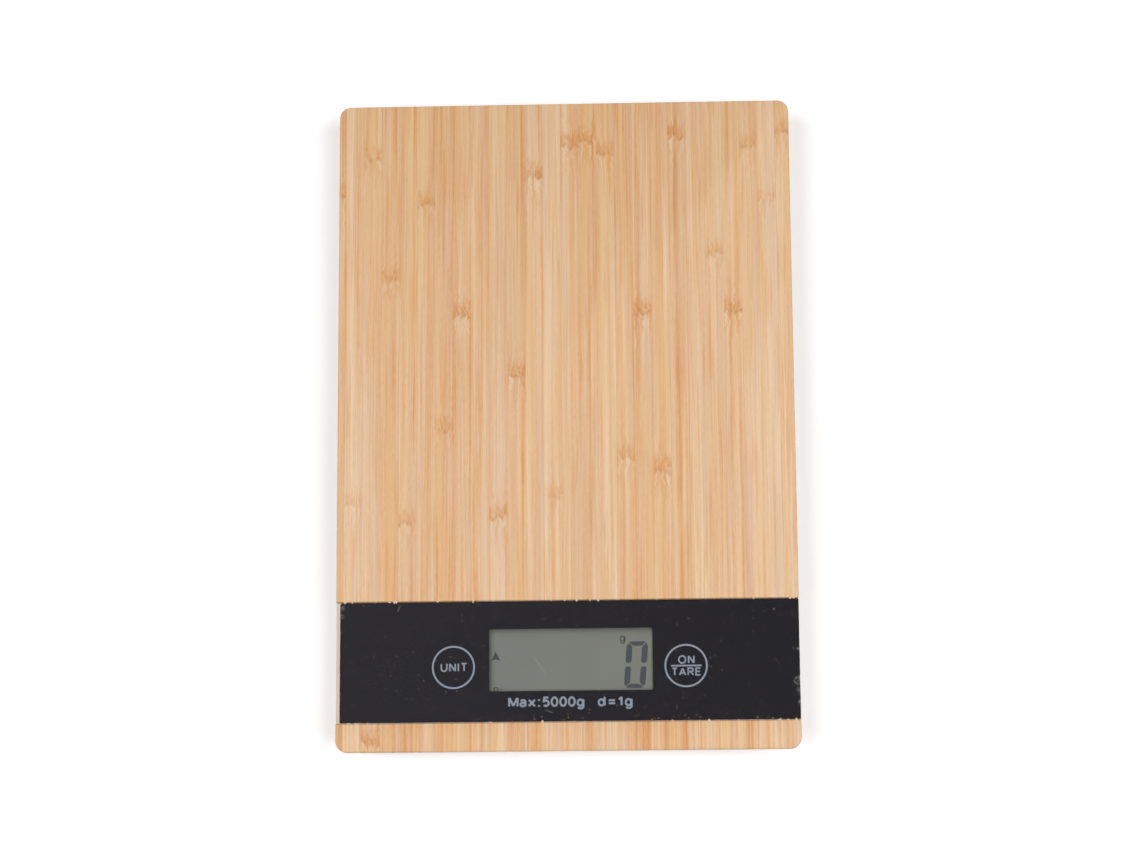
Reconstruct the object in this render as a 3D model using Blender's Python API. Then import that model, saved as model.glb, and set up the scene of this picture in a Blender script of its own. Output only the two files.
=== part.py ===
"""A flat electronic kitchen scale with a bamboo platform, as separate pieces.

Frame: metres, +Z up, +Y away from the user, origin under the middle of the scale
on the surface that it stands on.
"""
import math

import bmesh
import bpy
from mathutils import Vector

# ---- driving dimensions ------------------------------------------------------------------
LENGTH = 0.230  # along Y
WIDTH = 0.160  # along X
HEIGHT = 0.018
FLOOR_GAP = 0.0025  # under the base, made by the feet
TRAVEL = 0.0006  # the platform's way down to the overload stop
FIT = 0.0003  # between pieces that touch or slide
FILM = 0.00005  # between thin layers that are glued together

BOARD_THICK = 0.004
BOARD_RADIUS = 0.004
BOARD_Z = HEIGHT - BOARD_THICK

# the strip across the front of the board that the display panel lies in
CHANNEL_DEPTH = 0.0018
CHANNEL_WIDTH = 0.04195
CHANNEL_Y = -0.084175
CHANNEL_Z = HEIGHT - CHANNEL_DEPTH

PANEL_LENGTH = 0.1585
PANEL_WIDTH = 0.04155
PANEL_X = 0.00065
PANEL_THICK = 0.0012
TAPE_THICK = 0.00015
PRINT_THICK = 0.00015
TAPE_Z = CHANNEL_Z + FILM
PRINT_Z = TAPE_Z + TAPE_THICK + FILM
PANEL_Z = PRINT_Z + PRINT_THICK + FILM

WINDOW = (0.0565, 0.0215)  # clear part of the panel, over the display
WINDOW_AT = (0.0012, -0.08365)
BOARD_OPENING = (0.101, 0.0274)
BOARD_OPENING_AT = (0.0, -0.0838)
UNIT_KEY = (-0.0391, -0.0861)
TARE_KEY = (0.0411, -0.0863)

# upper housing, the tray under the board
HOUSING = (0.150, 0.220)
HOUSING_RADIUS = 0.008
HOUSING_WALL = 0.0018
HOUSING_Z = 0.0034
PLATE_THICK = 0.0014
BOND_THICK = 0.00014
PLATE_TOP = BOARD_Z - BOND_THICK - 2 * FILM - 0.00001
PLATE_Z = PLATE_TOP - PLATE_THICK

# base, nested inside the housing's skirt
BASE = (0.144, 0.214)
BASE_RADIUS = 0.005
BASE_WALL = 0.0016
BASE_FLOOR = 0.002
BASE_TOP = 0.009
FLOOR_TOP = FLOOR_GAP + BASE_FLOOR

FOOT_RADIUS = 0.008
FOOT_RECESS = 0.0006
FOOT_AT = (0.058, 0.093)

# load cell, a bar along Y: the +Y end is fixed to the base, the -Y end carries the housing
CELL_LENGTH = 0.047
CELL_WIDTH = 0.012
CELL_THICK = 0.006
CELL_Z = 0.0056
CELL_TOP = CELL_Z + CELL_THICK
CELL_HOLES_Y = (0.0115, 0.0185)
WEB_Y = 0.0045  # middle of the two round cuts that make the thin webs
SPACER = (0.014, 0.014, 0.0005)
SPACER_Y = 0.0165

# coin cell and its door, under the back of the base
COIN_RADIUS = 0.010
COIN_THICK = 0.0032
WELL_Y = 0.066
WELL_RADIUS = 0.0104
WELL_OUTER = 0.0125
WELL_ROOF_Z = 0.0086
WELL_TOP = 0.0094
COIN_Z = 0.0044
DOOR = (0.030, 0.032, 0.0013)
DOOR_Z = FLOOR_GAP + 0.0001
HINGE_Y = WELL_Y + DOOR[1] / 2 - DOOR[2] / 2
HINGE_Z = DOOR_Z + DOOR[2] / 2
TONGUE_X = 0.008
LEDGE_TOP = 0.0053

# circuit board and display
PCB = (0.115, 0.034, 0.0012)
PCB_Z = 0.0101
PCB_TOP = PCB_Z + PCB[2]
LCD = (0.062, 0.026, 0.0022)
LCD_Z = 0.0138
PCB_SCREW_AT = (0.054, 0.0125)
BOARD_SCREW_X = 0.060
BOARD_SCREW_Y = (-0.050, 0.095)

WIRE_RADIUS = 0.00045


# ---- helpers -------------------------------------------------------------------------------
def clear_scene():
    """Remove what the scene starts with."""
    for thing in list(bpy.data.objects):
        bpy.data.objects.remove(thing, do_unlink=True)


def finish(name, colour, roughness, metallic=0.0):
    """A plain material for one piece."""
    material = bpy.data.materials.new(name)
    material.use_nodes = True
    shader = material.node_tree.nodes["Principled BSDF"]
    shader.inputs["Base Color"].default_value = (*colour, 1.0)
    shader.inputs["Roughness"].default_value = roughness
    shader.inputs["Metallic"].default_value = metallic
    return material


def empty(name, at):
    """An empty that stands for a moving body, with its origin on the joint's axis."""
    pivot = bpy.data.objects.new(name, None)
    pivot.location = at
    bpy.context.collection.objects.link(pivot)
    return pivot


def put(name, mesh, at, material=None, parent=None):
    """Link a mesh as one named piece."""
    piece = bpy.data.objects.new(name, mesh)
    piece.location = at
    piece.parent = parent
    if material:
        mesh.materials.clear()
        mesh.materials.append(material)
    bpy.context.collection.objects.link(piece)
    return piece


def to_mesh(bm, name, smooth=False):
    """Turn a bmesh into a mesh with its faces pointing out."""
    bmesh.ops.recalc_face_normals(bm, faces=bm.faces)
    mesh = bpy.data.meshes.new(name)
    bm.to_mesh(mesh)
    bm.free()
    if smooth:
        mesh.shade_smooth()
        mesh.set_sharp_from_angle(angle=math.radians(35))
    return mesh


def raise_faces(bm, height):
    """Extrude a flat outline straight up."""
    grown = bmesh.ops.extrude_face_region(bm, geom=bm.faces[:])["geom"]
    top = [part for part in grown if isinstance(part, bmesh.types.BMVert)]
    bmesh.ops.translate(bm, vec=(0, 0, height), verts=top)


def slab_mesh(name, size, radius=0.0, segments=6):
    """A block on z = 0 with rounded upright corners."""
    bm = bmesh.new()
    bmesh.ops.create_grid(bm, x_segments=1, y_segments=1, size=0.5)
    bmesh.ops.scale(bm, vec=(size[0], size[1], 1), verts=bm.verts)
    if radius:
        bmesh.ops.bevel(
            bm, geom=bm.verts[:], offset=radius, affect="VERTICES", segments=segments, profile=0.5
        )
    raise_faces(bm, size[2])
    return to_mesh(bm, name)


def slab(name, size, at, radius=0.0, material=None, parent=None, segments=6):
    """A rounded block; at is the middle of its underside."""
    return put(name, slab_mesh(name, size, radius, segments), at, material, parent)


def turned_mesh(name, profile, steps=24):
    """A turned solid from (radius, height) points that start and end on the axis."""
    bm = bmesh.new()
    points = [bm.verts.new((radius, 0, height)) for radius, height in profile]
    edges = [bm.edges.new(pair) for pair in zip(points, points[1:])]
    bmesh.ops.spin(
        bm,
        geom=points + edges,
        cent=(0, 0, 0),
        axis=(0, 0, 1),
        angle=math.tau,
        steps=steps,
        use_merge=True,
    )
    bmesh.ops.remove_doubles(bm, verts=bm.verts, dist=1e-6)
    return to_mesh(bm, name, smooth=True)


def turned(name, profile, at, material=None, parent=None, steps=24):
    """A turned piece standing on its axis at one place."""
    return put(name, turned_mesh(name, profile, steps), at, material, parent)


def rod_profile(radius, height, low=0.0):
    """The profile of a plain cylinder."""
    return [(0, low), (radius, low), (radius, low + height), (0, low + height)]


def outline_mesh(name, points, width):
    """A flat outline in the YZ plane, given width along X about x = 0."""
    bm = bmesh.new()
    corners = [bm.verts.new((-width / 2, y, z)) for y, z in points]
    bm.faces.new(corners)
    grown = bmesh.ops.extrude_face_region(bm, geom=bm.faces[:])["geom"]
    far = [part for part in grown if isinstance(part, bmesh.types.BMVert)]
    bmesh.ops.translate(bm, vec=(width, 0, 0), verts=far)
    return to_mesh(bm, name)


def as_tool(piece):
    """Keep a shape out of the object, for use by a Boolean only."""
    piece.hide_render = True
    piece.display_type = "WIRE"
    return piece


def combine(piece, operation, *tools):
    """Cut or add shapes with one Boolean each."""
    for tool in tools:
        as_tool(tool)
        boolean = piece.modifiers.new(f"{operation.lower()} {tool.name}", "BOOLEAN")
        boolean.operation = operation
        boolean.solver = "EXACT"
        boolean.object = tool


def cut(piece, *tools):
    """Remove the tools' shapes from a piece."""
    combine(piece, "DIFFERENCE", *tools)


def add(piece, *tools):
    """Grow a piece by the tools' shapes."""
    combine(piece, "UNION", *tools)


def round_edges(piece, width, segments=2, degrees=60):
    """Break a piece's sharp edges."""
    bevel = piece.modifiers.new("edges", "BEVEL")
    bevel.width = width
    bevel.segments = segments
    bevel.limit_method = "ANGLE"
    bevel.angle_limit = math.radians(degrees)


def hole(name, radius, at, height, steps=20):
    """A round cutter that starts at a height and goes up."""
    return turned(name, rod_profile(radius, height), at, steps=steps)


def box(name, low, high):
    """A square-cornered tool between two corners."""
    size = [b - a for a, b in zip(low, high)]
    middle = [(a + b) / 2 for a, b in zip(low[:2], high[:2])]
    return slab(name, size, (*middle, low[2]))


def through_points(points, per_span=5):
    """Points along a smooth curve that passes through a route's own points."""
    route = [Vector(point) for point in points]
    route = [2 * route[0] - route[1], *route, 2 * route[-1] - route[-2]]
    path = []
    for before, start, end, after in zip(route, route[1:], route[2:], route[3:]):
        for step in range(per_span):
            t = step / per_span
            path.append(
                0.5
                * (
                    2 * start
                    + (end - before) * t
                    + (2 * before - 5 * start + 4 * end - after) * t**2
                    + (3 * start - before - 3 * end + after) * t**3
                )
            )
    path.append(route[-2])
    return path


def tube(name, path, radius, material, parent=None, resolution=1):
    """A round wire along a list of points, with closed ends."""
    curve = bpy.data.curves.new(name, "CURVE")
    curve.dimensions = "3D"
    spline = curve.splines.new("POLY")
    spline.points.add(len(path) - 1)
    for place, point in zip(spline.points, path):
        place.co = (*point, 1.0)
    curve.bevel_depth = radius
    curve.bevel_resolution = resolution
    curve.use_fill_caps = True
    curve.materials.append(material)
    wire = bpy.data.objects.new(name, curve)
    wire.parent = parent
    bpy.context.collection.objects.link(wire)
    return wire


# ---- materials -----------------------------------------------------------------------------
def make_finishes():
    """Every material of the scale by name."""
    return {
        "bamboo": finish("bamboo", (0.74, 0.47, 0.27), 0.55),
        "black plastic": finish("black plastic", (0.02, 0.02, 0.022), 0.5),
        "clear acrylic": finish("clear acrylic", (0.8, 0.8, 0.8), 0.08),
        "black print": finish("black print", (0.025, 0.023, 0.028), 0.3),
        "adhesive": finish("adhesive", (0.8, 0.8, 0.75), 0.8),
        "display glass": finish("display glass", (0.21, 0.22, 0.19), 0.15),
        "grey plastic": finish("grey plastic", (0.3, 0.3, 0.3), 0.5),
        "conductive rubber": finish("conductive rubber", (0.35, 0.1, 0.12), 0.6),
        "green laminate": finish("green laminate", (0.03, 0.2, 0.07), 0.4),
        "steel": finish("steel", (0.55, 0.55, 0.55), 0.3, 1.0),
        "nickel": finish("nickel", (0.7, 0.68, 0.63), 0.25, 1.0),
        "aluminium": finish("aluminium", (0.75, 0.75, 0.76), 0.35, 1.0),
        "silicone": finish("silicone", (0.85, 0.85, 0.83), 0.6),
        "gauge film": finish("gauge film", (0.75, 0.45, 0.1), 0.4),
        "soft rubber": finish("soft rubber", (0.05, 0.05, 0.05), 0.8),
        "epoxy": finish("epoxy", (0.02, 0.02, 0.02), 0.25),
        "ceramic": finish("ceramic", (0.5, 0.35, 0.2), 0.5),
        "red wire": finish("red wire", (0.6, 0.02, 0.02), 0.45),
        "black wire": finish("black wire", (0.02, 0.02, 0.02), 0.45),
        "green wire": finish("green wire", (0.02, 0.3, 0.06), 0.45),
        "white wire": finish("white wire", (0.8, 0.8, 0.78), 0.45),
    }


# ---- screws --------------------------------------------------------------------------------
def cross_tool(name, span, depth):
    """A cross with flat arms that cuts a screw's driver recess from z = 0 up."""
    arm = span / 4
    half = span / 2
    inner = arm / 2
    corner = [(half, -inner), (half, inner), (inner, inner)]
    points = []
    for turn in range(4):
        angle = turn * math.pi / 2
        for x, y in corner:
            points.append(
                (x * math.cos(angle) - y * math.sin(angle), x * math.sin(angle) + y * math.cos(angle))
            )
    bm = bmesh.new()
    bm.faces.new([bm.verts.new((x, y, 0)) for x, y in points])
    raise_faces(bm, depth)
    return put(name, to_mesh(bm, name), (0, 0, -depth / 2))


def screw_mesh(name, head_radius, head, shank_radius, length, countersunk):
    """A cross-head screw pointing up, with the top of its head at z = 0."""
    if countersunk:
        profile = [(0, 0), (head_radius, 0), (shank_radius, head)]
    else:
        rounded = head_radius * 0.8
        profile = [(0, 0), (rounded, 0), (head_radius, head * 0.4), (head_radius, head)]
        profile.append((shank_radius, head))
    tip = shank_radius * 0.5
    profile += [(shank_radius, length - tip), (tip, length), (0, length)]
    blank = turned(name, profile, (0, 0, 0), steps=16)
    recess = cross_tool(f"{name} recess", head_radius * 1.1, head * 1.1)
    cut(blank, recess)
    shape = bpy.context.evaluated_depsgraph_get()
    mesh = bpy.data.meshes.new_from_object(blank.evaluated_get(shape))
    for spare in (blank, recess):
        bpy.data.objects.remove(spare, do_unlink=True)
    return mesh


def place_screw(name, mesh, at, material, parent, head_up=False):
    """Put a screw with its head at one place; head_up turns it to point down."""
    screw = put(name, mesh, at, material, parent)
    if head_up:
        screw.rotation_euler = (math.pi, 0, 0)
    return screw


# ---- the platform's pieces -------------------------------------------------------------------
def make_board(finishes, platform):
    """The bamboo board, with its channel, its display opening and blind screw holes."""
    board = slab(
        "bamboo_platform",
        (WIDTH, LENGTH, BOARD_THICK),
        (0, 0, BOARD_Z),
        BOARD_RADIUS,
        finishes["bamboo"],
        platform,
        segments=8,
    )
    round_edges(board, 0.0004)
    channel = slab(
        "channel tool", (WIDTH * 1.2, CHANNEL_WIDTH, 0.004), (0, CHANNEL_Y, CHANNEL_Z)
    )
    opening = slab("opening tool", (*BOARD_OPENING, 0.02), (*BOARD_OPENING_AT, 0.008), 0.002, segments=4)
    cut(board, channel, opening)
    for x, y in board_screw_places():
        cut(board, hole(f"pilot tool {x:+.2f} {y:+.2f}", 0.0015, (x, y, BOARD_Z - 0.001), 0.0036, 12))


def board_screw_places():
    """Where the four screws hold the board to the housing."""
    return [(side * BOARD_SCREW_X, y) for y in BOARD_SCREW_Y for side in (-1, 1)]


def make_housing(finishes, platform):
    """The tray under the board: top plate, skirt, ribs, bosses and openings."""
    housing = slab(
        "upper_housing",
        (*HOUSING, PLATE_TOP - HOUSING_Z),
        (0, 0, HOUSING_Z),
        HOUSING_RADIUS,
        finishes["black plastic"],
        platform,
    )
    round_edges(housing, 0.0006)
    inside = (HOUSING[0] - 2 * HOUSING_WALL, HOUSING[1] - 2 * HOUSING_WALL, PLATE_Z)
    cut(housing, slab("tray tool", inside, (0, 0, 0), HOUSING_RADIUS - HOUSING_WALL))
    rib_low = 0.0108
    rib_high = PLATE_Z + 0.0004
    half = 0.0006
    for x in (-0.035, 0.035):
        add(housing, box(f"rib tool {x:+.3f}", (x - half, -0.060, rib_low), (x + half, 0.105, rib_high)))
    for y in (-0.044, 0.035, 0.085):
        rib = box(f"cross rib tool {y:+.3f}", (-0.0725, y - half, rib_low), (0.0725, y + half, rib_high))
        add(housing, rib)
    for x, y in pcb_screw_places():
        boss_z = PCB_TOP + 0.0001
        boss = hole(f"boss tool {x:+.2f} {y:+.2f}", 0.00275, (x, y, boss_z), rib_high - boss_z)
        add(housing, boss)
        cut(housing, hole(f"boss bore {x:+.2f} {y:+.2f}", 0.0013, (x, y, boss_z - 0.001), 0.0028, 12))
    opening = slab("display tool", (0.1016, 0.0280, 0.02), (*BOARD_OPENING_AT, 0.008), 0.002, segments=4)
    gauge_window = slab("gauge tool", (0.018, 0.0331, 0.02), (0, 0.00895, 0.008), 0.002, segments=4)
    cut(housing, opening, gauge_window)
    for x, y in board_screw_places():
        cut(housing, hole(f"clearance tool {x:+.2f} {y:+.2f}", 0.0017, (x, y, 0.008), 0.01, 12))
    for y in CELL_HOLES_Y:
        sink = [(0, -0.004), (0.0018, -0.004), (0.0018, 0), (0.0032, 0.0014), (0.0032, 0.003), (0, 0.003)]
        cut(housing, turned(f"countersink tool {y:.3f}", sink, (0, -y, PLATE_Z), steps=20))


def make_bond(finishes, platform):
    """The thin double-sided tape between the board and the housing."""
    bond = slab(
        "platform_tape",
        (HOUSING[0] - 0.012, HOUSING[1] - 0.012, BOND_THICK),
        (0, 0, PLATE_TOP + FILM),
        0.003,
        finishes["adhesive"],
        platform,
        segments=2,
    )
    opening = slab("tape display tool", (0.104, 0.030, 0.01), (*BOARD_OPENING_AT, 0.009))
    middle = slab("tape middle tool", (0.020, 0.052, 0.01), (0, 0, 0.009))
    cut(bond, opening, middle)
    for x, y in board_screw_places():
        cut(bond, hole(f"tape hole {x:+.2f} {y:+.2f}", 0.002, (x, y, 0.009), 0.01, 12))


def make_panel(finishes, platform):
    """The clear panel, the black print behind it and the tape that holds it in the channel."""
    outline = (PANEL_LENGTH, PANEL_WIDTH)
    panel = slab(
        "display_panel",
        (*outline, PANEL_THICK),
        (PANEL_X, CHANNEL_Y, PANEL_Z),
        0.0006,
        finishes["clear acrylic"],
        platform,
        segments=3,
    )
    round_edges(panel, 0.0001, segments=1)
    inset = 0.0002
    print_size = (outline[0] - inset, outline[1] - inset, PRINT_THICK)
    backing = slab(
        "panel_print",
        print_size,
        (PANEL_X, CHANNEL_Y, PRINT_Z),
        0.0005,
        finishes["black print"],
        platform,
        segments=2,
    )
    cut(backing, slab("window tool", (*WINDOW, 0.002), (*WINDOW_AT, PRINT_Z - 0.001), 0.0006, segments=3))
    tape = slab(
        "panel_tape",
        (PANEL_LENGTH - 0.003, PANEL_WIDTH - 0.002, TAPE_THICK),
        (PANEL_X, CHANNEL_Y, TAPE_Z),
        0.001,
        finishes["adhesive"],
        platform,
        segments=2,
    )
    spare = 0.001
    tape_opening = (BOARD_OPENING[0] + spare, BOARD_OPENING[1] + spare, 0.002)
    cut(tape, slab("tape tool", tape_opening, (*BOARD_OPENING_AT, TAPE_Z - 0.001), 0.002, segments=3))


def make_display(finishes, platform):
    """The liquid-crystal glass, the frame that carries it and its contact strip."""
    x, y = WINDOW_AT
    glass = slab("lcd_glass", LCD, (x, y, LCD_Z), 0.0002, finishes["display glass"], platform, segments=1)
    step = box(
        "contact ledge tool",
        (x - 0.04, y - LCD[1] / 2 - 0.001, LCD_Z - 0.001),
        (x + 0.04, y - LCD[1] / 2 + 0.0022, LCD_Z + LCD[2] / 2),
    )
    cut(glass, step)
    frame_low = PCB_TOP + 0.0001
    frame_size = (0.067, 0.0268, LCD_Z - 0.0001 - frame_low)
    grey = finishes["grey plastic"]
    frame = slab("lcd_frame", frame_size, (x, y, frame_low), 0.0006, grey, platform, segments=2)
    strip_y = y - 0.0117
    middle = slab("frame middle tool", (0.057, 0.020, 0.01), (x, y, 0.009))
    slot = slab("strip slot tool", (0.0552, 0.0022, 0.01), (x, strip_y, 0.009))
    cut(frame, middle, slot)
    strip_low = PCB_TOP + FILM
    strip_high = LCD_Z + LCD[2] / 2 - FILM
    slab(
        "contact_strip",
        (0.0545, 0.0016, strip_high - strip_low),
        (x, strip_y, strip_low),
        0.0,
        finishes["conductive rubber"],
        platform,
    )


def pcb_screw_places():
    """Where the four screws hold the circuit board to the housing."""
    middle = BOARD_OPENING_AT[1]
    return [(sx * PCB_SCREW_AT[0], middle + sy * PCB_SCREW_AT[1]) for sy in (-1, 1) for sx in (-1, 1)]


def make_electronics(finishes, platform):
    """The circuit board and what is soldered to it."""
    laminate = finishes["green laminate"]
    pcb = slab("circuit_board", PCB, (0, BOARD_OPENING_AT[1], PCB_Z), 0.001, laminate, platform, 2)
    for x, y in pcb_screw_places():
        cut(pcb, hole(f"pcb hole {x:+.2f} {y:+.2f}", 0.0013, (x, y, PCB_Z - 0.001), 0.004, 12))
    blob = [(0, 0), (0.0045, -0.0001), (0.0062, -0.0006), (0.0066, -0.0011), (0.0066, -0.0013), (0, -0.0013)]
    dome = [(radius, -0.0013 - height) for radius, height in blob]
    turned("controller_blob", dome, (0.004, -0.084, PCB_Z - FILM), finishes["epoxy"], platform, steps=20)
    under = PCB_Z - FILM
    chip = (0.010, 0.004, 0.0016)
    slab("weighing_chip", chip, (0.026, -0.078, under - chip[2]), 0.0, finishes["epoxy"], platform)
    crystal = (0.0032, 0.0082, 0.0028)
    crystal_at = (-0.014, -0.080, under - crystal[2])
    slab("quartz_crystal", crystal, crystal_at, 0.0015, finishes["nickel"], platform, 4)
    part = (0.0032, 0.0016, 0.0012)
    for number, x in enumerate((0.036, 0.042), 1):
        slab(f"capacitor_{number}", part, (x, -0.078, under - part[2]), 0.0, finishes["ceramic"], platform)


def touch_spring(name, at, finishes, platform):
    """A coil spring that carries one touch key's signal up to the panel."""
    wire = 0.00025
    radius = 0.0030
    low = PCB_TOP + 0.0001 + wire
    high = PRINT_Z - FILM - wire
    turns = 4.5
    per_turn = 14
    count = round(turns * per_turn)
    path = []
    for step in range(count + 1):
        angle = step * math.tau / per_turn
        # the first and last turns lie flat, so the coil stands square
        rise = min(max((step / per_turn - 0.75) / (turns - 1.5), 0), 1)
        spot = (at[0] + radius * math.cos(angle), at[1] + radius * math.sin(angle), low + rise * (high - low))
        path.append(spot)
    tube(name, path, wire, finishes["nickel"], platform)


# ---- the base's pieces ---------------------------------------------------------------------
def make_base(finishes):
    """The base cover: floor, low rim, ribs, battery well, cell pad and overload stop."""
    size = (*BASE, BASE_TOP - FLOOR_GAP)
    base = slab("base_cover", size, (0, 0, FLOOR_GAP), BASE_RADIUS, finishes["black plastic"])
    round_edges(base, 0.0005)
    inside = (BASE[0] - 2 * BASE_WALL, BASE[1] - 2 * BASE_WALL, 0.02)
    cut(base, slab("base tool", inside, (0, 0, FLOOR_TOP), BASE_RADIUS - BASE_WALL))
    low = FLOOR_TOP - 0.0004
    rib_top = 0.0064
    half = 0.0006
    for x in (-0.023, 0.023, -0.048, 0.048):
        add(base, box(f"base rib {x:+.3f}", (x - half, -0.1058, low), (x + half, 0.1058, rib_top)))
    for y in (-0.055, 0.032, 0.092):
        top = rib_top - 0.0003
        add(base, box(f"base cross rib {y:+.3f}", (-0.0708, y - half, low), (0.0708, y + half, top)))
    pad = slab("well pad", (0.036, 0.040, LEDGE_TOP - low), (0, WELL_Y, low))
    wall = hole("well wall", WELL_OUTER, (0, WELL_Y, low), WELL_TOP - low, steps=40)
    cell_pad = slab("cell pad", (0.018, 0.018, 0.0049 - low), (0, SPACER_Y, low))
    stop = slab("overload stop", (0.014, 0.010, CELL_Z - TRAVEL - FILM - low), (0, -0.017, low))
    add(base, pad, wall, cell_pad, stop)
    cut(base, hole("well bore", WELL_RADIUS, (0, WELL_Y, 0.002), WELL_ROOF_Z - 0.002, steps=40))
    rebate = (DOOR[0] + 2 * FIT, DOOR[1] + 2 * FIT, 0.0041)
    cut(base, slab("door rebate", rebate, (0, WELL_Y, 0), 0.0008, segments=2))
    front = WELL_Y - DOOR[1] / 2
    latch_gap = box("latch gap", (-0.0045, front - 0.0010, 0.002), (0.0045, front + 0.0022, 0.0075))
    thumb = box("thumb scoop", (-0.006, front - 0.005, 0.002), (0.006, front + 0.001, 0.0036))
    cut(base, latch_gap, thumb)
    for side in (-1, 1):
        x = side * TONGUE_X
        edge = WELL_Y + DOOR[1] / 2
        near, far = (x - 0.003, edge - 0.003, 0.00305), (x + 0.003, edge + 0.003, 0.0078)
        cut(base, box(f"tongue slot {side:+d}", near, far))
        place = (side * (WELL_RADIUS + 0.0004), WELL_Y, 0.0042)
        cut(base, slab(f"contact pocket {side:+d}", (0.0018, 0.0052, 0.0062), place))
    for x, y in foot_places():
        top = FLOOR_GAP + FOOT_RECESS
        cut(base, hole(f"foot recess {x:+.2f} {y:+.2f}", FOOT_RADIUS + FIT, (x, y, 0), top, 28))
    for y in CELL_HOLES_Y:
        sink = [(0, -0.001), (0.0032, -0.001), (0.0032, 0), (0.0018, 0.0014), (0.0018, 0.004), (0, 0.004)]
        cut(base, turned(f"base countersink {y:.3f}", sink, (0, y, FLOOR_GAP), steps=20))
    return base


def foot_places():
    """The middles of the four feet."""
    return [(sx * FOOT_AT[0], sy * FOOT_AT[1]) for sy in (-1, 1) for sx in (-1, 1)]


def make_feet(finishes):
    """Four round anti-slip feet in the base's recesses."""
    top = FLOOR_GAP + FOOT_RECESS - 0.0001
    soft = 0.0008
    profile = [
        (0, 0),
        (FOOT_RADIUS - 2 * soft, 0),
        (FOOT_RADIUS - soft * 0.6, soft * 0.4),
        (FOOT_RADIUS, 1.5 * soft),
        (FOOT_RADIUS, top),
        (0, top),
    ]
    mesh = turned_mesh("foot", profile, steps=28)
    names = ("foot_front_left", "foot_front_right", "foot_back_left", "foot_back_right")
    for name, (x, y) in zip(names, foot_places()):
        put(name, mesh, (x, y, 0), finishes["soft rubber"])


def make_load_cell(finishes, screws, platform):
    """The aluminium sensing bar, its spacers, gauges, sealant and four screws."""
    size = (CELL_WIDTH, CELL_LENGTH, CELL_THICK)
    cell = slab("load_cell", size, (0, 0, CELL_Z), 0.0, finishes["aluminium"])
    middle = CELL_Z + CELL_THICK / 2
    for side in (-1, 1):
        web = turned(f"web tool {side:+d}", rod_profile(0.0024, 0.02, -0.01), (0, side * WEB_Y, middle))
        web.rotation_euler = (0, math.pi / 2, 0)
        cut(cell, web)
        for y in CELL_HOLES_Y:
            cut(cell, hole(f"thread tool {side * y:+.3f}", 0.00175, (0, side * y, 0), 0.02, 16))
    cut(cell, box("slot tool", (-0.01, -WEB_Y, middle - 0.0007), (0.01, WEB_Y, middle + 0.0007)))

    lower_z = CELL_Z - FILM * 2 - SPACER[2]
    upper_z = CELL_TOP + 0.00015
    lower = slab("lower_spacer", SPACER, (0, SPACER_Y, lower_z), 0.0, finishes["steel"])
    upper = slab("upper_spacer", SPACER, (0, -SPACER_Y, upper_z), 0.0, finishes["steel"], platform)
    for y in CELL_HOLES_Y:
        cut(lower, hole(f"lower spacer hole {y:.3f}", 0.0018, (0, y, 0), 0.02, 16))
        cut(upper, hole(f"upper spacer hole {y:.3f}", 0.0018, (0, -y, 0.005), 0.02, 16))
    for number, y in enumerate(CELL_HOLES_Y, 1):
        head_at = (0, y, FLOOR_GAP + 0.0003)
        place_screw(f"fixed_end_screw_{number}", screws["cell"], head_at, finishes["steel"], None)
        at = (0, -y, PLATE_TOP - 0.0001)
        place_screw(f"live_end_screw_{number}", screws["cell"], at, finishes["steel"], platform, head_up=True)

    gauge = (0.005, 0.004, 0.00008)
    pad = (0.011, 0.0138, 0.0005)
    for side, place in ((-1, "front"), (1, "back")):
        slab(f"gauge_top_{place}", gauge, (0, side * WEB_Y, CELL_TOP + 0.00002), 0.0, finishes["gauge film"])
        slab(f"gauge_bottom_{place}", gauge, (0, side * WEB_Y, CELL_Z - 0.0001), 0.0, finishes["gauge film"])
    slab("gauge_sealant_top", pad, (0, 0, CELL_TOP + 0.00015), 0.002, finishes["silicone"], segments=3)
    below = CELL_Z - 0.00015 - pad[2]
    slab("gauge_sealant_bottom", pad, (0, 0, below), 0.002, finishes["silicone"], segments=3)


def bent_strip(name, centre_line, thick, width, at, material):
    """A bent metal strip: a line in the XZ plane, given thickness and a width along Y."""
    line = [Vector((x, z)) for x, z in centre_line]
    left, right = [], []
    for index, point in enumerate(line):
        before = line[max(index - 1, 0)]
        after = line[min(index + 1, len(line) - 1)]
        ahead = (after - before).normalized()
        across = Vector((-ahead.y, ahead.x)) * thick / 2
        left.append(point + across)
        right.append(point - across)
    mesh = outline_mesh(name, [tuple(point) for point in left + right[::-1]], width)
    strip = put(name, mesh, at, material)
    strip.rotation_euler = (0, 0, -math.pi / 2)
    return strip


def make_battery(finishes):
    """The coin cell and the two contacts in its well."""
    rim = 0.0003
    profile = [
        (0, 0),
        (COIN_RADIUS - rim, 0),
        (COIN_RADIUS, rim),
        (COIN_RADIUS, COIN_THICK - 2 * rim),
        (COIN_RADIUS - 3 * rim, COIN_THICK - 2 * rim),
        (COIN_RADIUS - 5 * rim, COIN_THICK),
        (0, COIN_THICK),
    ]
    turned("coin_cell", profile, (0, WELL_Y, COIN_Z), finishes["nickel"], steps=40)
    pocket = WELL_RADIUS + 0.0008
    tab = WELL_TOP + 0.0003
    leaf = [(-0.004, 0.0080), (-0.001, 0.0080), (0.004, 0.0083), (pocket, 0.0083), (pocket, tab)]
    bent_strip("negative_contact", leaf, 0.0003, 0.004, (0, WELL_Y, 0), finishes["nickel"])
    side = [(-pocket, 0.0048), (-COIN_RADIUS - 0.0004, 0.0060), (-pocket, 0.0072), (-pocket, tab)]
    bent_strip("positive_contact", side, 0.0003, 0.004, (0, WELL_Y, 0), finishes["nickel"])


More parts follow.
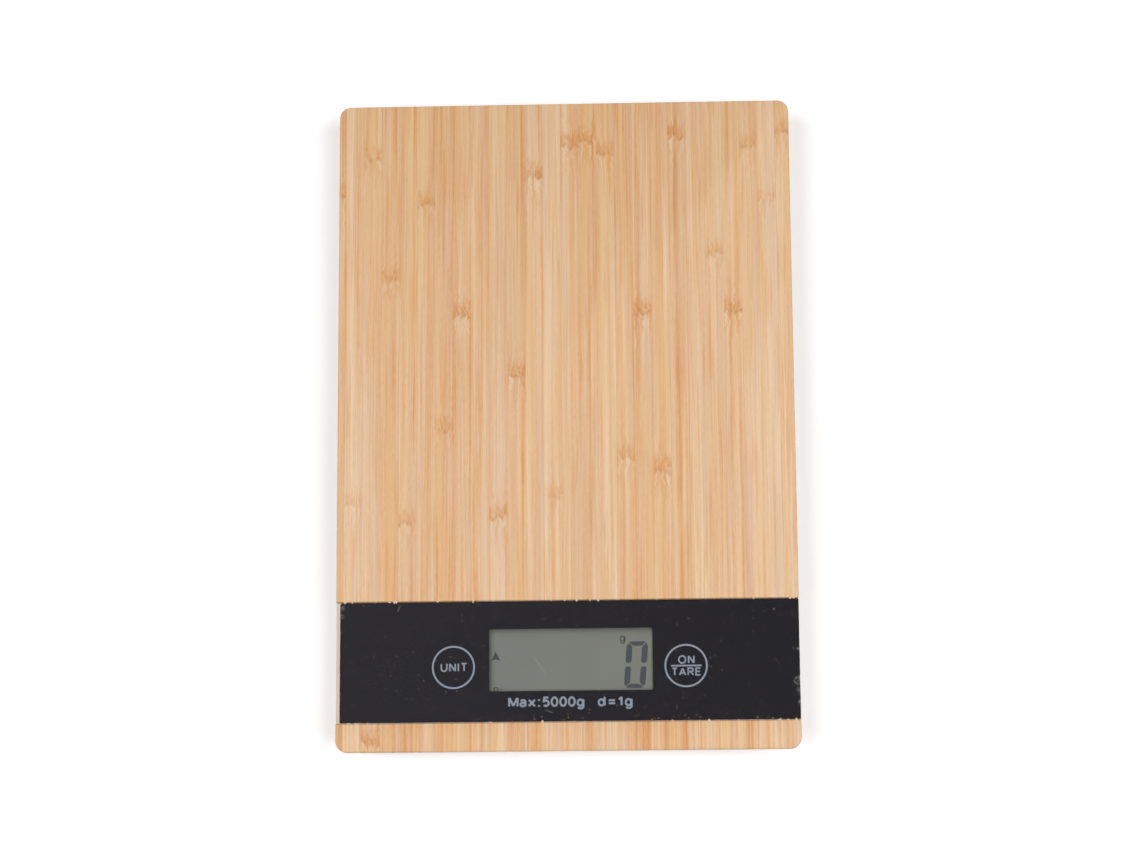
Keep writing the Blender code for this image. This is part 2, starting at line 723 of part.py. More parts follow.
def make_door(finishes, hinge):
    """The battery door: a plate with a rounded hinge edge, tongues, a latch arm and grip ridges."""
    half = DOOR[2] / 2
    edge = [
        (half * math.cos(angle), half * math.sin(angle))
        for angle in [math.pi / 2 - step * math.pi / 6 for step in range(7)]
    ]
    free = half - DOOR[1]
    plate = [*edge, (free, -half), (free, half)]
    mesh = outline_mesh("battery_door", plate, DOOR[0])
    door = put("battery_door", mesh, (0, 0, 0), finishes["black plastic"], hinge)
    parts = []
    for side in (-1, 1):
        x = side * TONGUE_X
        near, far = (x - 0.0025, -0.002, 0.0001), (x + 0.0025, half + 0.002, 0.0008)
        parts.append(box(f"tongue {side:+d}", near, far))
    arm = [
        (free, half - 0.0004),
        (free + 0.0012, half - 0.0004),
        (free + 0.0008, half + 0.0024),
        (free, half + 0.0024),
        (free - 0.0003, half + 0.0020),
        (free, half + 0.0015),
    ]
    parts.append(put("latch arm", outline_mesh("latch arm", arm, 0.008), (0, 0, 0)))
    scoop_y = free + 0.006
    near, far = (-0.007, scoop_y - 0.0035, -half - 0.001), (0.007, scoop_y + 0.0035, -half + 0.0004)
    scoop = box("grip scoop", near, far)
    for tool in (*parts, scoop):
        tool.parent = hinge
    add(door, *parts)
    cut(door, scoop)
    for row in (-1, 0, 1):
        y = scoop_y + row * 0.002
        near, far = (-0.0058, y - 0.0004, -half + 0.0001), (0.0058, y + 0.0004, -half + 0.0006)
        ridge = box(f"grip ridge {row:+d}", near, far)
        ridge.parent = hinge
        add(door, ridge)


# ---- wires ---------------------------------------------------------------------------------
def make_wires(finishes, platform):
    """Four wires from the load cell and two from the battery, to the circuit board."""
    colours = ("red", "black", "green", "white")
    pitch = 0.0013
    for number, colour in enumerate(colours):
        lane = number * pitch
        route = [
            (0.0072, lane, 0.0100),
            (0.0098 + lane, lane - 0.0015, 0.0096),
            (0.0118 + lane, -0.0100, 0.0090),
            (0.0118 + lane, -0.0300, 0.0088),
            (0.0125 + 1.4 * lane, -0.0500, 0.0086),
            (0.0135 + 1.8 * lane, -0.0620, 0.0090),
            (0.0140 + 2.0 * lane, -0.0700, 0.0095),
        ]
        path = through_points(route, per_span=4)
        tube(f"cell_wire_{colour}", path, WIRE_RADIUS, finishes[f"{colour} wire"], platform)
    for colour, side, lane in (("red", -1, 0.0), ("black", 1, pitch)):
        start = side * (WELL_RADIUS + 0.0008)
        turn_y = WELL_Y - 0.020 + lane
        route = [
            (start, WELL_Y - 0.0005, 0.0108),
            (start * 0.98 - 0.001, WELL_Y - 0.008, 0.0108),
            (-0.0120 + lane if side > 0 else -0.0150, turn_y, 0.0098),
            (-0.0145 + lane, 0.0300, 0.0090),
            (-0.0140 + lane, 0.0000, 0.0086),
            (-0.0145 + lane, -0.0300, 0.0086),
            (-0.0150 + 1.5 * lane, -0.0550, 0.0088),
            (-0.0160 + 2.0 * lane, -0.0700, 0.0095),
        ]
        path = through_points(route, per_span=5)
        tube(f"battery_wire_{colour}", path, WIRE_RADIUS, finishes[f"{colour} wire"], platform)


# ---- the whole scale -----------------------------------------------------------------------
def main():
    """Build every piece and hang the moving ones from their pivots."""
    clear_scene()
    finishes = make_finishes()
    platform = empty("platform travel", (0, 0, 0))
    hinge = empty("battery door hinge", (0, HINGE_Y, HINGE_Z))
    screws = {
        "cell": screw_mesh("cell screw", 0.0027, 0.0013, 0.0015, 0.0070, countersunk=True),
        "board": screw_mesh("board screw", 0.0025, 0.0014, 0.0013, 0.0054, countersunk=False),
        "pcb": screw_mesh("pcb screw", 0.0019, 0.0013, 0.0010, 0.0043, countersunk=False),
    }
    make_board(finishes, platform)
    make_housing(finishes, platform)
    make_bond(finishes, platform)
    make_panel(finishes, platform)
    make_display(finishes, platform)
    make_electronics(finishes, platform)
    touch_spring("unit_touch_spring", UNIT_KEY, finishes, platform)
    touch_spring("tare_touch_spring", TARE_KEY, finishes, platform)
    for number, (x, y) in enumerate(board_screw_places(), 1):
        at = (x, y, PLATE_Z - 0.00005 - 0.0014)
        place_screw(f"board_screw_{number}", screws["board"], at, finishes["steel"], platform)
    for number, (x, y) in enumerate(pcb_screw_places(), 1):
        at = (x, y, PCB_Z - 0.00005 - 0.0013)
        place_screw(f"pcb_screw_{number}", screws["pcb"], at, finishes["steel"], platform)
    make_base(finishes)
    make_feet(finishes)
    make_load_cell(finishes, screws, platform)
    make_battery(finishes)
    make_door(finishes, hinge)
    make_wires(finishes, platform)


main()
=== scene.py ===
# %% [markdown]
# # A bamboo kitchen scale
# A flat electronic scale has few parts in sight: a board, a glossy strip with a display, a low plastic body
# and four feet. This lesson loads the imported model, which holds every working part at its true place, and
# gives each surface the finish of the real thing. New pieces are made only where the model is too plain:
# the board, the panel, the printed legends, the display's figures, the feet and the bending sensor bar.

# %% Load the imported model
import math
import random

import bmesh
import bpy
from mathutils import Matrix, Vector


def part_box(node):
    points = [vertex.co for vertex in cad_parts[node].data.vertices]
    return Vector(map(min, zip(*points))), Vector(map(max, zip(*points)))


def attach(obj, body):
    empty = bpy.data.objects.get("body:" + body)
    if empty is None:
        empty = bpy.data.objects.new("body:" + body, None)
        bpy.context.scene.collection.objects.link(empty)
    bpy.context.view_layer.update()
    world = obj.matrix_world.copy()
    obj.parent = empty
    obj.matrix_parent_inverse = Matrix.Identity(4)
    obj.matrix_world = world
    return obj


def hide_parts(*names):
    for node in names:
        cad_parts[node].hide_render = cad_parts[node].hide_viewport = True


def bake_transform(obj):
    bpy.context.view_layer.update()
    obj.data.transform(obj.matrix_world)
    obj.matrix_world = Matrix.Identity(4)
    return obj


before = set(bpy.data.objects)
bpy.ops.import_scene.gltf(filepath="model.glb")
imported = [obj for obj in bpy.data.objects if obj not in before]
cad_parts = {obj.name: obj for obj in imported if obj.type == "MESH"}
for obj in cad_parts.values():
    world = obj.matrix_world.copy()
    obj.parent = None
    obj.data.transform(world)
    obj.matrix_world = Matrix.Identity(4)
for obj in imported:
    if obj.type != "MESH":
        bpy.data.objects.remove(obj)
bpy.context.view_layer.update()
MM = 0.001
CLOSE = 0.001 * MM  # two places nearer than this are the same

# %% [markdown]
# ## Camera and light
# The camera stands almost a metre above the board, a little in front of it and to the right, with a long
# lens, so the board's sides stay nearly parallel. Its turn is written as three angles, as the Item panel
# shows them. The Standard view keeps colours as they are, where a filmic curve would grey the white table.

# %% Camera
camera = bpy.data.objects.new("camera", bpy.data.cameras.new("camera"))
camera.data.sensor_width = 36.0
camera.data.lens = 89.53
camera.data.clip_start = 0.01
camera.location = (0.03444, -0.18312, 0.99156)
camera.rotation_euler = [math.radians(angle) for angle in (10.486, 2.013, -0.410)]
bpy.context.scene.collection.objects.link(camera)
bpy.context.scene.camera = camera
bpy.context.scene.view_settings.view_transform = "Standard"

# %% [markdown]
# Colours are easier to judge as the 0 to 255 values of a colour picker. A shader wants linear light, so one
# helper turns the first into the second.


# %% Colour helper
def shade(red, green, blue, gain=1.0):
    """A colour picker's 0 to 255 values as a linear colour."""
    linear = []
    for level in (red, green, blue):
        part = level / 255
        linear.append(gain * (part / 12.92 if part <= 0.04045 else ((part + 0.055) / 1.055) ** 2.4))
    return (*linear, 1.0)


# %% [markdown]
# ## Shader sums as Python
# A procedural material is mostly arithmetic on masks and noises. The Wire class stands for one output
# socket and adds a Math node for each sum, so a pattern reads as a formula. Every other node comes from
# Finish.node, which takes the node's settings first and its sockets' values or links after.


# %% Wires and finishes
class Wire:
    """One output of a shader node; arithmetic on it adds Math nodes."""

    def __init__(self, finish, socket):
        self.finish, self.socket = finish, socket

    def math(self, operation, *others):
        sockets = dict(enumerate((self, *others)))
        return self.finish.node("Math", {"operation": operation}, sockets)

    def __add__(self, other):
        return self.math("ADD", other)

    def __sub__(self, other):
        return self.math("SUBTRACT", other)

    def __mul__(self, other):
        return self.math("MULTIPLY", other)

    def __rsub__(self, other):
        return self.finish.node("Math", {"operation": "SUBTRACT"}, {0: other, 1: self})

    __radd__, __rmul__ = __add__, __mul__


class Finish:
    """A material in the making."""

    def __init__(self, name):
        self.material = bpy.data.materials.new(name)
        self.material.use_nodes = True
        self.tree = self.material.node_tree
        self.tree.nodes.clear()
        self.place = self.node("TexCoord", output="Object")

    def node(self, kind, settings=None, sockets=None, output=0):
        """Add one node: its settings, then the values or links of its sockets."""
        made = self.tree.nodes.new("ShaderNode" + kind)
        for name, value in (settings or {}).items():
            if name == "stops":
                self.set_stops(made.color_ramp, value)
            elif name == "interpolation":
                made.color_ramp.interpolation = value
            else:
                setattr(made, name, value)
        for key, value in (sockets or {}).items():
            if isinstance(value, Wire):
                self.tree.links.new(value.socket, made.inputs[key])
            else:
                made.inputs[key].default_value = value
        return Wire(self, made.outputs[output])

    @staticmethod
    def set_stops(ramp, stops):
        """Give a colour ramp its positions and colours."""
        while len(ramp.elements) < len(stops):
            ramp.elements.new(1.0)
        for element, (position, colour) in zip(ramp.elements, stops):
            element.position = position
            element.color = colour

    def axes(self):
        """The point's x, y and z in millimetres."""
        parts = self.node("SeparateXYZ", sockets={0: self.place}).socket.node
        return [Wire(self, socket) * 1000.0 for socket in parts.outputs]

    def vector(self, x, y, z):
        return self.node("CombineXYZ", sockets={0: x, 1: y, 2: z})

    def noise(self, where, scale=1.0, detail=2.0, rough=0.5):
        """A cloudy pattern from 0 to 1, about 0.5 on average."""
        sockets = {"Vector": where, "Scale": scale, "Detail": detail, "Roughness": rough}
        return self.node("TexNoise", sockets=sockets)

    def cells(self, where, scale, output="Distance"):
        """A pattern of cells, as their distance or their random colour."""
        return self.node("TexVoronoi", sockets={"Vector": where, "Scale": scale}, output=output)

    def ease(self, value, low, high, start=0.0, end=1.0):
        """A smooth step from start at low to end at high."""
        sockets = {"Value": value, "From Min": low, "From Max": high, "To Min": start, "To Max": end}
        return self.node("MapRange", {"interpolation_type": "SMOOTHSTEP"}, sockets)

    def ramp(self, value, stops, interpolation="LINEAR"):
        """Colours spread over a value from 0 to 1."""
        return self.node("ValToRGB", {"stops": stops, "interpolation": interpolation}, {0: value})

    def blend(self, mask, first, second):
        """One colour over another."""
        return self.node("Mix", {"data_type": "RGBA"}, {0: mask, 6: first, 7: second}, output=2)

    def bump(self, height, depth):
        """Relief of a depth in millimetres."""
        return self.node("Bump", sockets={"Height": height, "Distance": depth * MM, "Strength": 1.0})

    def surface(self, sockets):
        """The usual shader, joined to the material's output."""
        return self.show(self.node("BsdfPrincipled", sockets=sockets))

    def show(self, shader):
        """Join a shader to the material's output."""
        output = self.tree.nodes.new("ShaderNodeOutputMaterial")
        self.tree.links.new(shader.socket, output.inputs["Surface"])
        return self.material


# %% [markdown]
# ## Making pieces
# A finished piece keeps its place in its mesh and its object stays at the origin, as the model's own nodes
# do. So every piece goes through one helper, which turns a bmesh into an object, lets it ride on the body
# that carries it, gives it its finish and hides the imported parts that it stands in for.


# %% Piece helpers
SHARP = math.radians(40)  # a turn between faces that reads as an edge


def piece(name, bm, material, body, smooth=True, instead_of=()):
    """Make a piece from a bmesh whose points are at their true place.

    A piece that bends between two bodies is given no body here.
    """
    bmesh.ops.recalc_face_normals(bm, faces=bm.faces)
    mesh = bpy.data.meshes.new(name)
    bm.to_mesh(mesh)
    bm.free()
    if smooth:
        mesh.shade_smooth()
        mesh.set_sharp_from_angle(angle=SHARP)
    mesh.materials.append(material)
    made = bpy.data.objects.new(name, mesh)
    bpy.context.scene.collection.objects.link(made)
    if body:
        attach(made, body)
    if instead_of:
        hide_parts(*instead_of)
    return made


def soften(made, width, segments=2):
    """Round a piece's sharp edges with a live Bevel."""
    bevel = made.modifiers.new("edges", "BEVEL")
    bevel.width = width
    bevel.segments = segments
    bevel.limit_method = "ANGLE"
    bevel.angle_limit = SHARP


def lift(bm, faces, height):
    """Extrude faces straight up."""
    grown = bmesh.ops.extrude_face_region(bm, geom=faces)["geom"]
    top = [part for part in grown if isinstance(part, bmesh.types.BMVert)]
    bmesh.ops.translate(bm, vec=(0, 0, height), verts=top)


# %% [markdown]
# ## The bamboo board
# The board is one flat block with a channel routed across its front for the display panel. Its section
# along the side is a shape of eight points, so the block starts as that section and is drawn out across the
# width. Bevels then round the four upright corners and the long edges, and two bridged holes make the
# display's opening.

# %% Board
GAP = 0.2 * MM  # between the panel and the channel's sides
CORNER = 4 * MM  # radius of the board's upright corners
RIM = 0.45 * MM  # rounding of its long edges
board_low, board_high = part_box("bamboo_platform")
panel_low, panel_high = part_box("display_panel")
floor_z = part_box("panel_tape")[0].z - 0.05 * MM
opening_low = Vector((-50.5, -97.5, 0)) * MM
opening_high = Vector((50.5, -70.1, 0)) * MM


def flat_faces(bm, inside=False):
    """The channel floor's and the underside's faces, all or only those within the opening."""
    chosen = []
    for face in bm.faces:
        middle = face.calc_center_median()
        within = all(opening_low[i] < middle[i] < opening_high[i] for i in (0, 1))
        if abs(face.normal.z) > 0.9 and middle.z < floor_z + MM and (within or not inside):
            chosen.append(face)
    return chosen


def upright(edge, x, y):
    """True for an upright edge at one place, on either side of the middle line."""
    a, b = (vert.co for vert in edge.verts)
    return abs(a.z - b.z) > MM and all(abs(abs(p.x) - x) < CLOSE and abs(p.y - y) < CLOSE for p in (a, b))


def board_mesh():
    bm = bmesh.new()
    back_lip, front_lip = panel_high.y + GAP, panel_low.y - GAP
    section = [
        (board_low.y, board_low.z),
        (board_high.y, board_low.z),
        (board_high.y, board_high.z),
        (back_lip, board_high.z),
        (back_lip, floor_z),
        (front_lip, floor_z),
        (front_lip, board_high.z),
        (board_low.y, board_high.z),
    ]
    bm.faces.new([bm.verts.new((board_low.x, y, z)) for y, z in section])
    grown = bmesh.ops.extrude_face_region(bm, geom=bm.faces[:])["geom"]
    far = [part for part in grown if isinstance(part, bmesh.types.BMVert)]
    bmesh.ops.translate(bm, vec=(board_high.x - board_low.x, 0, 0), verts=far)
    bmesh.ops.recalc_face_normals(bm, faces=bm.faces)
    corners = [e for e in bm.edges if any(upright(e, board_high.x, y) for y in (board_low.y, board_high.y))]
    rounded = {"affect": "EDGES", "profile": 0.5, "material": -1}
    bmesh.ops.bevel(bm, geom=corners, offset=CORNER, segments=14, **rounded)
    for corner in (opening_low, opening_high):
        for direction in ((1, 0, 0), (0, 1, 0)):
            faces = flat_faces(bm)
            parts = dict.fromkeys(part for face in faces for part in (face, *face.edges, *face.verts))
            bmesh.ops.bisect_plane(bm, geom=list(parts), plane_co=corner, plane_no=direction)
    bmesh.ops.delete(bm, geom=flat_faces(bm, inside=True), context="FACES_ONLY")
    bmesh.ops.bridge_loops(bm, edges=[edge for edge in bm.edges if edge.is_boundary])
    sides = (opening_low.y, opening_high.y)
    ends = [edge for edge in bm.edges if any(upright(edge, opening_high.x, y) for y in sides)]
    bmesh.ops.bevel(bm, geom=ends, offset=2 * MM, segments=5, **rounded)
    rims = []
    for edge in bm.edges:
        a, b = (vert.co for vert in edge.verts)
        level = abs(a.z - b.z) < CLOSE and min(abs(a.z - board_high.z), abs(a.z - board_low.z)) < CLOSE
        folded = edge.is_manifold and edge.calc_face_angle(0) > 1
        outer = folded and abs((a.y + b.y) / 2) > board_high.y - CORNER - MM
        side = min(abs(a.x), abs(b.x)) > board_high.x - CLOSE
        if level and (outer or side):
            rims.append(edge)
    bmesh.ops.bevel(bm, geom=rims, offset=RIM, segments=3, **rounded)
    return bm


# %% [markdown]
# ## Bamboo
# Boards like this are glued up from split canes, so the surface is a row of straight strips about 6 mm
# wide. Each strip has its own tone and, once in 200 mm or more, a knuckle where the cane had a joint. The
# shader finds which strip a point is in and reads that strip's tone and knuckle from a ramp with one stop
# per strip. Long noises stretched along the strip make the fibres, and they start afresh in each strip.

# %% Strips
GAIN = 0.88  # paint lightness under this light
STRIP = 6.36  # width, mm
FIRST_EDGE = -83.96  # left side of the first strip, mm
NO_KNUCKLE = 190
LANES = [  # lightness from 0 to 1, knuckle's place along the board in mm, knuckle's strength
    (0.25, 82, 0.8),
    (0.70, -29, 0.35),
    (0.58, 96, 0.55),
    (0.25, 51, 0.6),
    (0.38, -36, 0.6),
    (0.45, 79, 0.65),
    (0.27, -3, 0.5),
    (0.45, 38, 0.85),
    (0.45, NO_KNUCKLE, 0.0),
    (0.70, -34, 0.7),
    (0.50, 16, 0.8),
    (0.55, 88, 0.95),
    (0.75, -27, 0.4),
    (0.52, 99, 0.8),
    (0.45, 101, 0.8),
    (0.65, 96, 0.6),
    (0.45, -14, 0.55),
    (0.38, 38, 1.0),
    (0.50, -18, 0.9),
    (0.40, 102, 0.9),
    (0.68, NO_KNUCKLE, 0.0),
    (0.65, 59, 0.5),
    (0.52, 38, 0.9),
    (0.75, 98, 0.4),
    (0.85, 78, 0.35),
    (0.65, 103, 0.7),
]
STREAKS = [  # dark bands of fibre: middle across the board and width in mm, strength
    (39.3, 1.5, 0.55),
    (-15.0, 0.7, 0.35),
    (-53.2, 0.5, 0.42),
    (57.8, 1.1, 0.35),
    (26.0, 0.8, 0.3),
    (8.6, 0.6, 0.28),
    (-71.6, 0.5, 0.3),
    (-33.6, 0.6, 0.4),
]


# %% [markdown]
# The knuckles could be painted on an image, but a formula stays sharp at any size and follows its strip.
# Each one has a ragged line, darker fibres above it and pale ones below, and the fibres swerve as they come
# near.


# %% Bamboo finish
def bamboo_finish():
    cane = Finish("bamboo")
    x, y, z = cane.axes()
    facing = Wire(cane, cane.place.socket.node.outputs["Normal"])
    sideways, endways, upwards = (
        cane.node("SeparateXYZ", sockets={0: facing}, output=axis).math("ABSOLUTE") for axis in "XYZ"
    )
    drift = cane.noise(cane.vector(x * 0.03, y * 0.012, 3.0), detail=1.0) - 0.5
    along_lanes = (x + drift * 0.7 - FIRST_EDGE) * (1 / STRIP)
    lane = along_lanes.math("FLOOR")
    within = along_lanes - lane
    count = len(LANES)
    stops = []
    for number, (light, knuckle, strength) in enumerate(LANES):
        stops.append((number / count, (light, (knuckle + 200) / 400, 0.0, strength)))
    stops[2] = (2 / count, (*stops[2][1][:2], 1.0, stops[2][1][3]))
    table = cane.ramp((lane + 0.5) * (1 / count), stops, "CONSTANT")
    light, knuckle, twin = (
        cane.node("SeparateColor", sockets={0: table}, output=part) for part in ("Red", "Green", "Blue")
    )
    front = cane.ease(y, -104.0, -102.0, 1.0, 0.0)  # the narrow strip in front of the panel
    strength = Wire(cane, table.socket.node.outputs["Alpha"]) + front * twin * 0.4
    seed = lane * 17.3

    # how far a point is along the strip from the knuckle; one strip has a second knuckle 208 mm on
    reach = 200.0 - twin * 96.0
    away = (y - (knuckle * 400.0 - 200.0)).math("WRAP", reach, reach * -1.0)
    near = cane.ease(away.math("ABSOLUTE"), 0.0, 20.0, 1.0, 0.0) * strength
    ripple = cane.noise(cane.vector(x * 0.3, y * 0.3, seed), detail=2.0) - 0.5
    sway = cane.noise(cane.vector(x * 0.2, y * 0.03, seed), detail=2.0) - 0.5
    fibre = x + z * cane.ease(sideways, 0.5, 0.85) * 1.3 + near * ripple * 3.6 + sway * 0.8

    # fibres: soft bands, flames of darker resin that start and end in a point, and hairs
    band = cane.noise(cane.vector(fibre * 0.5, y * 0.006, seed), detail=3.0) - 0.5
    fine = cane.noise(cane.vector(fibre * 2.1, y * 0.022, seed + 5.0), detail=4.0) - 0.5
    hair = cane.noise(cane.vector(fibre * 4.0, y * 0.45, seed + 9.0), detail=3.0) - 0.5
    flame = cane.ease(cane.noise(cane.vector(fibre * 0.85, y * 0.03, seed + 12.0), detail=3.0), 0.53, 0.7)

    # the knuckle: a ragged thin line, tines of darker fibre above it, and tails and pale fibre below
    ragged = away + (cane.noise(cane.vector(fibre * 0.6, seed, 1.0), detail=3.0) - 0.5) * 8.0
    above = cane.ease(ragged, -0.5, 0.3) * cane.ease(ragged, 1.5, 7.0, 1.0, 0.0)
    below = cane.ease(ragged, -12.0, -0.8) * cane.ease(ragged, -0.6, 0.1, 1.0, 0.0)
    tine = cane.ease(cane.noise(cane.vector(fibre * 1.5, y * 0.34, seed + 2.0), detail=3.0), 0.41, 0.58)
    tail = cane.ease(cane.noise(cane.vector(fibre * 1.1, y * 0.1, seed + 3.0), detail=3.0), 0.46, 0.6)
    ochre = (above * (tine * 0.75 + 0.25) + below * tail * 0.5) * strength
    dark = cane.ease(ragged.math("ABSOLUTE"), 0.2, 1.2, 1.0, 0.0) * (tine * 0.75 + 0.25) * strength
    pale = below * (1.0 - tail) * strength

    streaks = 0.0
    waver = cane.noise(cane.vector(x * 0.2, y * 0.018, 40.0), detail=2.0)
    for middle, width, weight in STREAKS:
        offset = (x + drift * 0.7 + sway * 0.5 - middle).math("ABSOLUTE")
        streaks = cane.ease(offset, 0.2 * width, width, weight, 0.0) + streaks
    streaks = streaks * cane.ease(waver, 0.35, 0.62)

    figure = (band * 1.45 + fine * 1.15) * (front * 0.3 + 1.0)
    depth = figure + hair * 0.55 + flame * 0.2 + (0.5 - light) * 0.6 + streaks
    depth = depth + ochre * 0.35 - pale * 0.22 + front * 0.05 + 0.41
    tones = [
        (0.0, shade(239, 206, 170, GAIN)),
        (0.25, shade(234, 195, 153, GAIN)),
        (0.5, shade(229, 183, 137, GAIN)),
        (0.75, shade(225, 167, 112, GAIN)),
        (1.0, shade(215, 147, 86, GAIN)),
    ]
    colour = cane.ramp(depth, tones)
    hue = cane.noise(cane.vector(fibre * 0.3, y * 0.01, seed + 20.0), detail=2.0)
    colour = cane.blend(cane.ease(hue, 0.48, 0.7) * 0.38, colour, shade(218, 179, 150, GAIN))
    colour = cane.blend(cane.ease(hue, 0.3, 0.52, 1.0, 0.0) * 0.5, colour, shade(234, 188, 130, GAIN))
    colour = cane.blend(flame * 0.3, colour, shade(224, 164, 98, GAIN))
    colour = cane.blend(ochre * 0.85, colour, shade(217, 151, 84, GAIN))
    colour = cane.blend(dark * 0.5, colour, shade(192, 126, 72, GAIN))
    seam_gap = within.math("MINIMUM", 1.0 - within) * STRIP
    seam = cane.ease(seam_gap, 0.03, 0.22, 1.0, 0.0)
    colour = cane.blend(seam * 0.12, colour, shade(160, 108, 66, GAIN))

    # the routed channel floor is paler and dusty with old adhesive
    routed = cane.ease(z, 16.3, 16.5, 1.0, 0.0) * cane.ease(z, 15.9, 16.1) * cane.ease(upwards, 0.8, 0.95)
    colour = cane.blend(routed * 0.75, colour, shade(214, 202, 190, GAIN))

    # end grain on the front and back edges: cut fibre bundles as dots
    end = cane.ease(endways, 0.6, 0.8)
    bundles = cane.ease(cane.cells(cane.vector(x * 1.7, 0.0, z * 1.7), 1.0), 0.18, 0.4, 1.0, 0.0)
    colour = cane.blend(end * (bundles * 0.5 + 0.15), colour, shade(158, 104, 62, GAIN))

    relief = hair * 0.5 + fine * 0.4 - seam * 0.5 - dark * 0.6
    sheen = hair * 0.3 + 0.5
    return cane.surface({"Base Color": colour, "Roughness": sheen, "Normal": cane.bump(relief, 0.03)})


board = piece(
    "bamboo_board", board_mesh(), bamboo_finish(), "platform", instead_of=["bamboo_platform"]
)
soften(board, 0.12 * MM)
print("board faces:", len(board.data.polygons), "strips:", len(LANES))


# %% [markdown]
# A router leaves short fibres standing along the channel's edges. They are tiny flat wedges that point from
# the edge over the panel, placed at random from a fixed seed, so that every run gives the same ones.

# %% Lip fibres
WORN_STRETCHES = [  # from and to along the board in mm, and how many fibres
    (-79, -55, 9),
    (-55, 60, 12),
    (60, 79, 8),
]
FIBRE_DEPTH = 0.07 * MM  # how far below the board's face a fibre lies


def fibre_wedge(bm, place, reach, width, away):
    """A three-sided splinter lying on the board's edge; away is 1 or -1, its direction along Y."""
    grown = bmesh.ops.create_cone(
        bm, cap_ends=True, segments=3, radius1=width / 2, radius2=width / 9, depth=reach
    )["verts"]
    turn = Matrix.Rotation(math.radians(-90 * away), 3, "X")
    bmesh.ops.rotate(bm, verts=grown, cent=(0, 0, 0), matrix=turn)
    bmesh.ops.scale(bm, vec=(1, 1, 0.06), verts=grown)
    bmesh.ops.translate(bm, vec=place, verts=grown)


def lip_fibres():
    bm = bmesh.new()
    pick = random.Random(4)
    for lip, away in ((panel_high.y + GAP, -1), (panel_low.y - GAP, 1)):
        for start, end, count in WORN_STRETCHES:
            for _ in range(count):
                reach = pick.uniform(0.45, 0.98) ** 2 * MM
                x = pick.uniform(start, end) * MM
                place = (x, lip + away * reach * 0.2, board_high.z - FIBRE_DEPTH)
                fibre_wedge(bm, place, reach, pick.uniform(0.3, 1.4) * MM, away)
    return bm


def fibre_finish():
    pulp = Finish("torn_fibre")
    x, y, z = pulp.axes()
    colour = pulp.blend(
        pulp.noise(pulp.vector(x * 2.0, y * 0.5, z)), shade(222, 182, 138, GAIN), shade(238, 212, 178, GAIN)
    )
    return pulp.surface({"Base Color": colour, "Roughness": 0.6})


fibres = piece("lip_fibres", lip_fibres(), fibre_finish(), "platform", smooth=False)
print("fibre faces:", len(fibres.data.polygons))

# %% [markdown]
# ## The clear panel
# The black band is a sheet of clear acrylic with its artwork on the back. A path tracer finds no lamp
# through real glass, so the finish lets the rays that look for light straight past: for shadow and diffuse
# rays a Mix Shader turns the sheet transparent. The sheet is remade as one plate, so that its edges can be
# softly rounded.


# %% Clear sheet
def clear_finish():
    sheet = Finish("clear_sheet")
    tint = (0.985, 0.99, 0.99, 1)
    body = {"Base Color": tint, "Roughness": 0.04, "IOR": 1.49, "Transmission Weight": 1.0}
    glass = sheet.node("BsdfPrincipled", sockets=body)
    passing = sheet.node("BsdfTransparent")
    shadow = sheet.node("LightPath", output="Is Shadow Ray")
    diffuse = Wire(sheet, shadow.socket.node.outputs["Is Diffuse Ray"])
    searching = shadow.math("MAXIMUM", diffuse)
    return sheet.show(sheet.node("MixShader", sockets={0: searching, 1: glass, 2: passing}))


def panel_mesh():
    """A thin block with rounded upright corners."""
    bm = bmesh.new()
    size, middle = panel_high - panel_low, (panel_low + panel_high) / 2
    corners = bmesh.ops.create_grid(bm, x_segments=1, y_segments=1, size=0.5)["verts"]
    bmesh.ops.scale(bm, vec=(size.x, size.y, 1), verts=corners)
    bmesh.ops.translate(bm, vec=(middle.x, middle.y, panel_low.z), verts=corners)
    bmesh.ops.bevel(
        bm, geom=corners, offset=0.6 * MM, affect="VERTICES", segments=6, profile=0.5, material=-1
    )
    lift(bm, bm.faces[:], size.z)
    return bm


panel = piece(
    "clear_panel", panel_mesh(), clear_finish(), "platform", instead_of=["display_panel"]
)
soften(panel, 0.12 * MM)
print("panel:", [round(side * 1000, 2) for side in panel_high - panel_low], "mm")

# %% [markdown]
# The print behind the panel is black ink with a little wear: dust caught under the sheet, scuffs at the
# left end and chips along the right end. Each mark is a mask on the point's place, so it stays where it is
# in any view.


# %% Print
SCUFFS = [((-77.5, -65.0), 1.5), ((-77.9, -68.1), 1.1), ((-78.3, -66.0), 0.8)]  # middle and radius, mm
CHIPS = [((79.3, -80.8), 1.0), ((79.2, -91.5), 2.2), ((79.6, -95.0), 1.4), ((79.7, -99.0), 1.0)]
SCRATCHES = [((-58.9, -66.8), (-57.6, -64.0)), ((-8.0, -100.9), (-5.0, -102.0))]  # start and end, mm


def mark(finish, x, y, middle, radius):
    """A soft round mask."""
    dx, dy = x - middle[0], y - middle[1]
    return finish.ease((dx * dx + dy * dy).math("SQRT"), radius * 0.35, radius, 1.0, 0.0)


def scratch(finish, x, y, start, end, width):
    """A soft thin line from one point to another."""
    length = math.dist(start, end)
    run = [(b - a) / length for a, b in zip(start, end)]
    dx, dy = x - start[0], y - start[1]
    along = (dx * run[0] + dy * run[1]) * (1 / length)
    across = (dx * -run[1] + dy * run[0]).math("ABSOLUTE")
    ends = finish.ease((along - 0.5).math("ABSOLUTE"), 0.3, 0.52, 1.0, 0.0)
    return finish.ease(across, width * 0.3, width, 1.0, 0.0) * ends


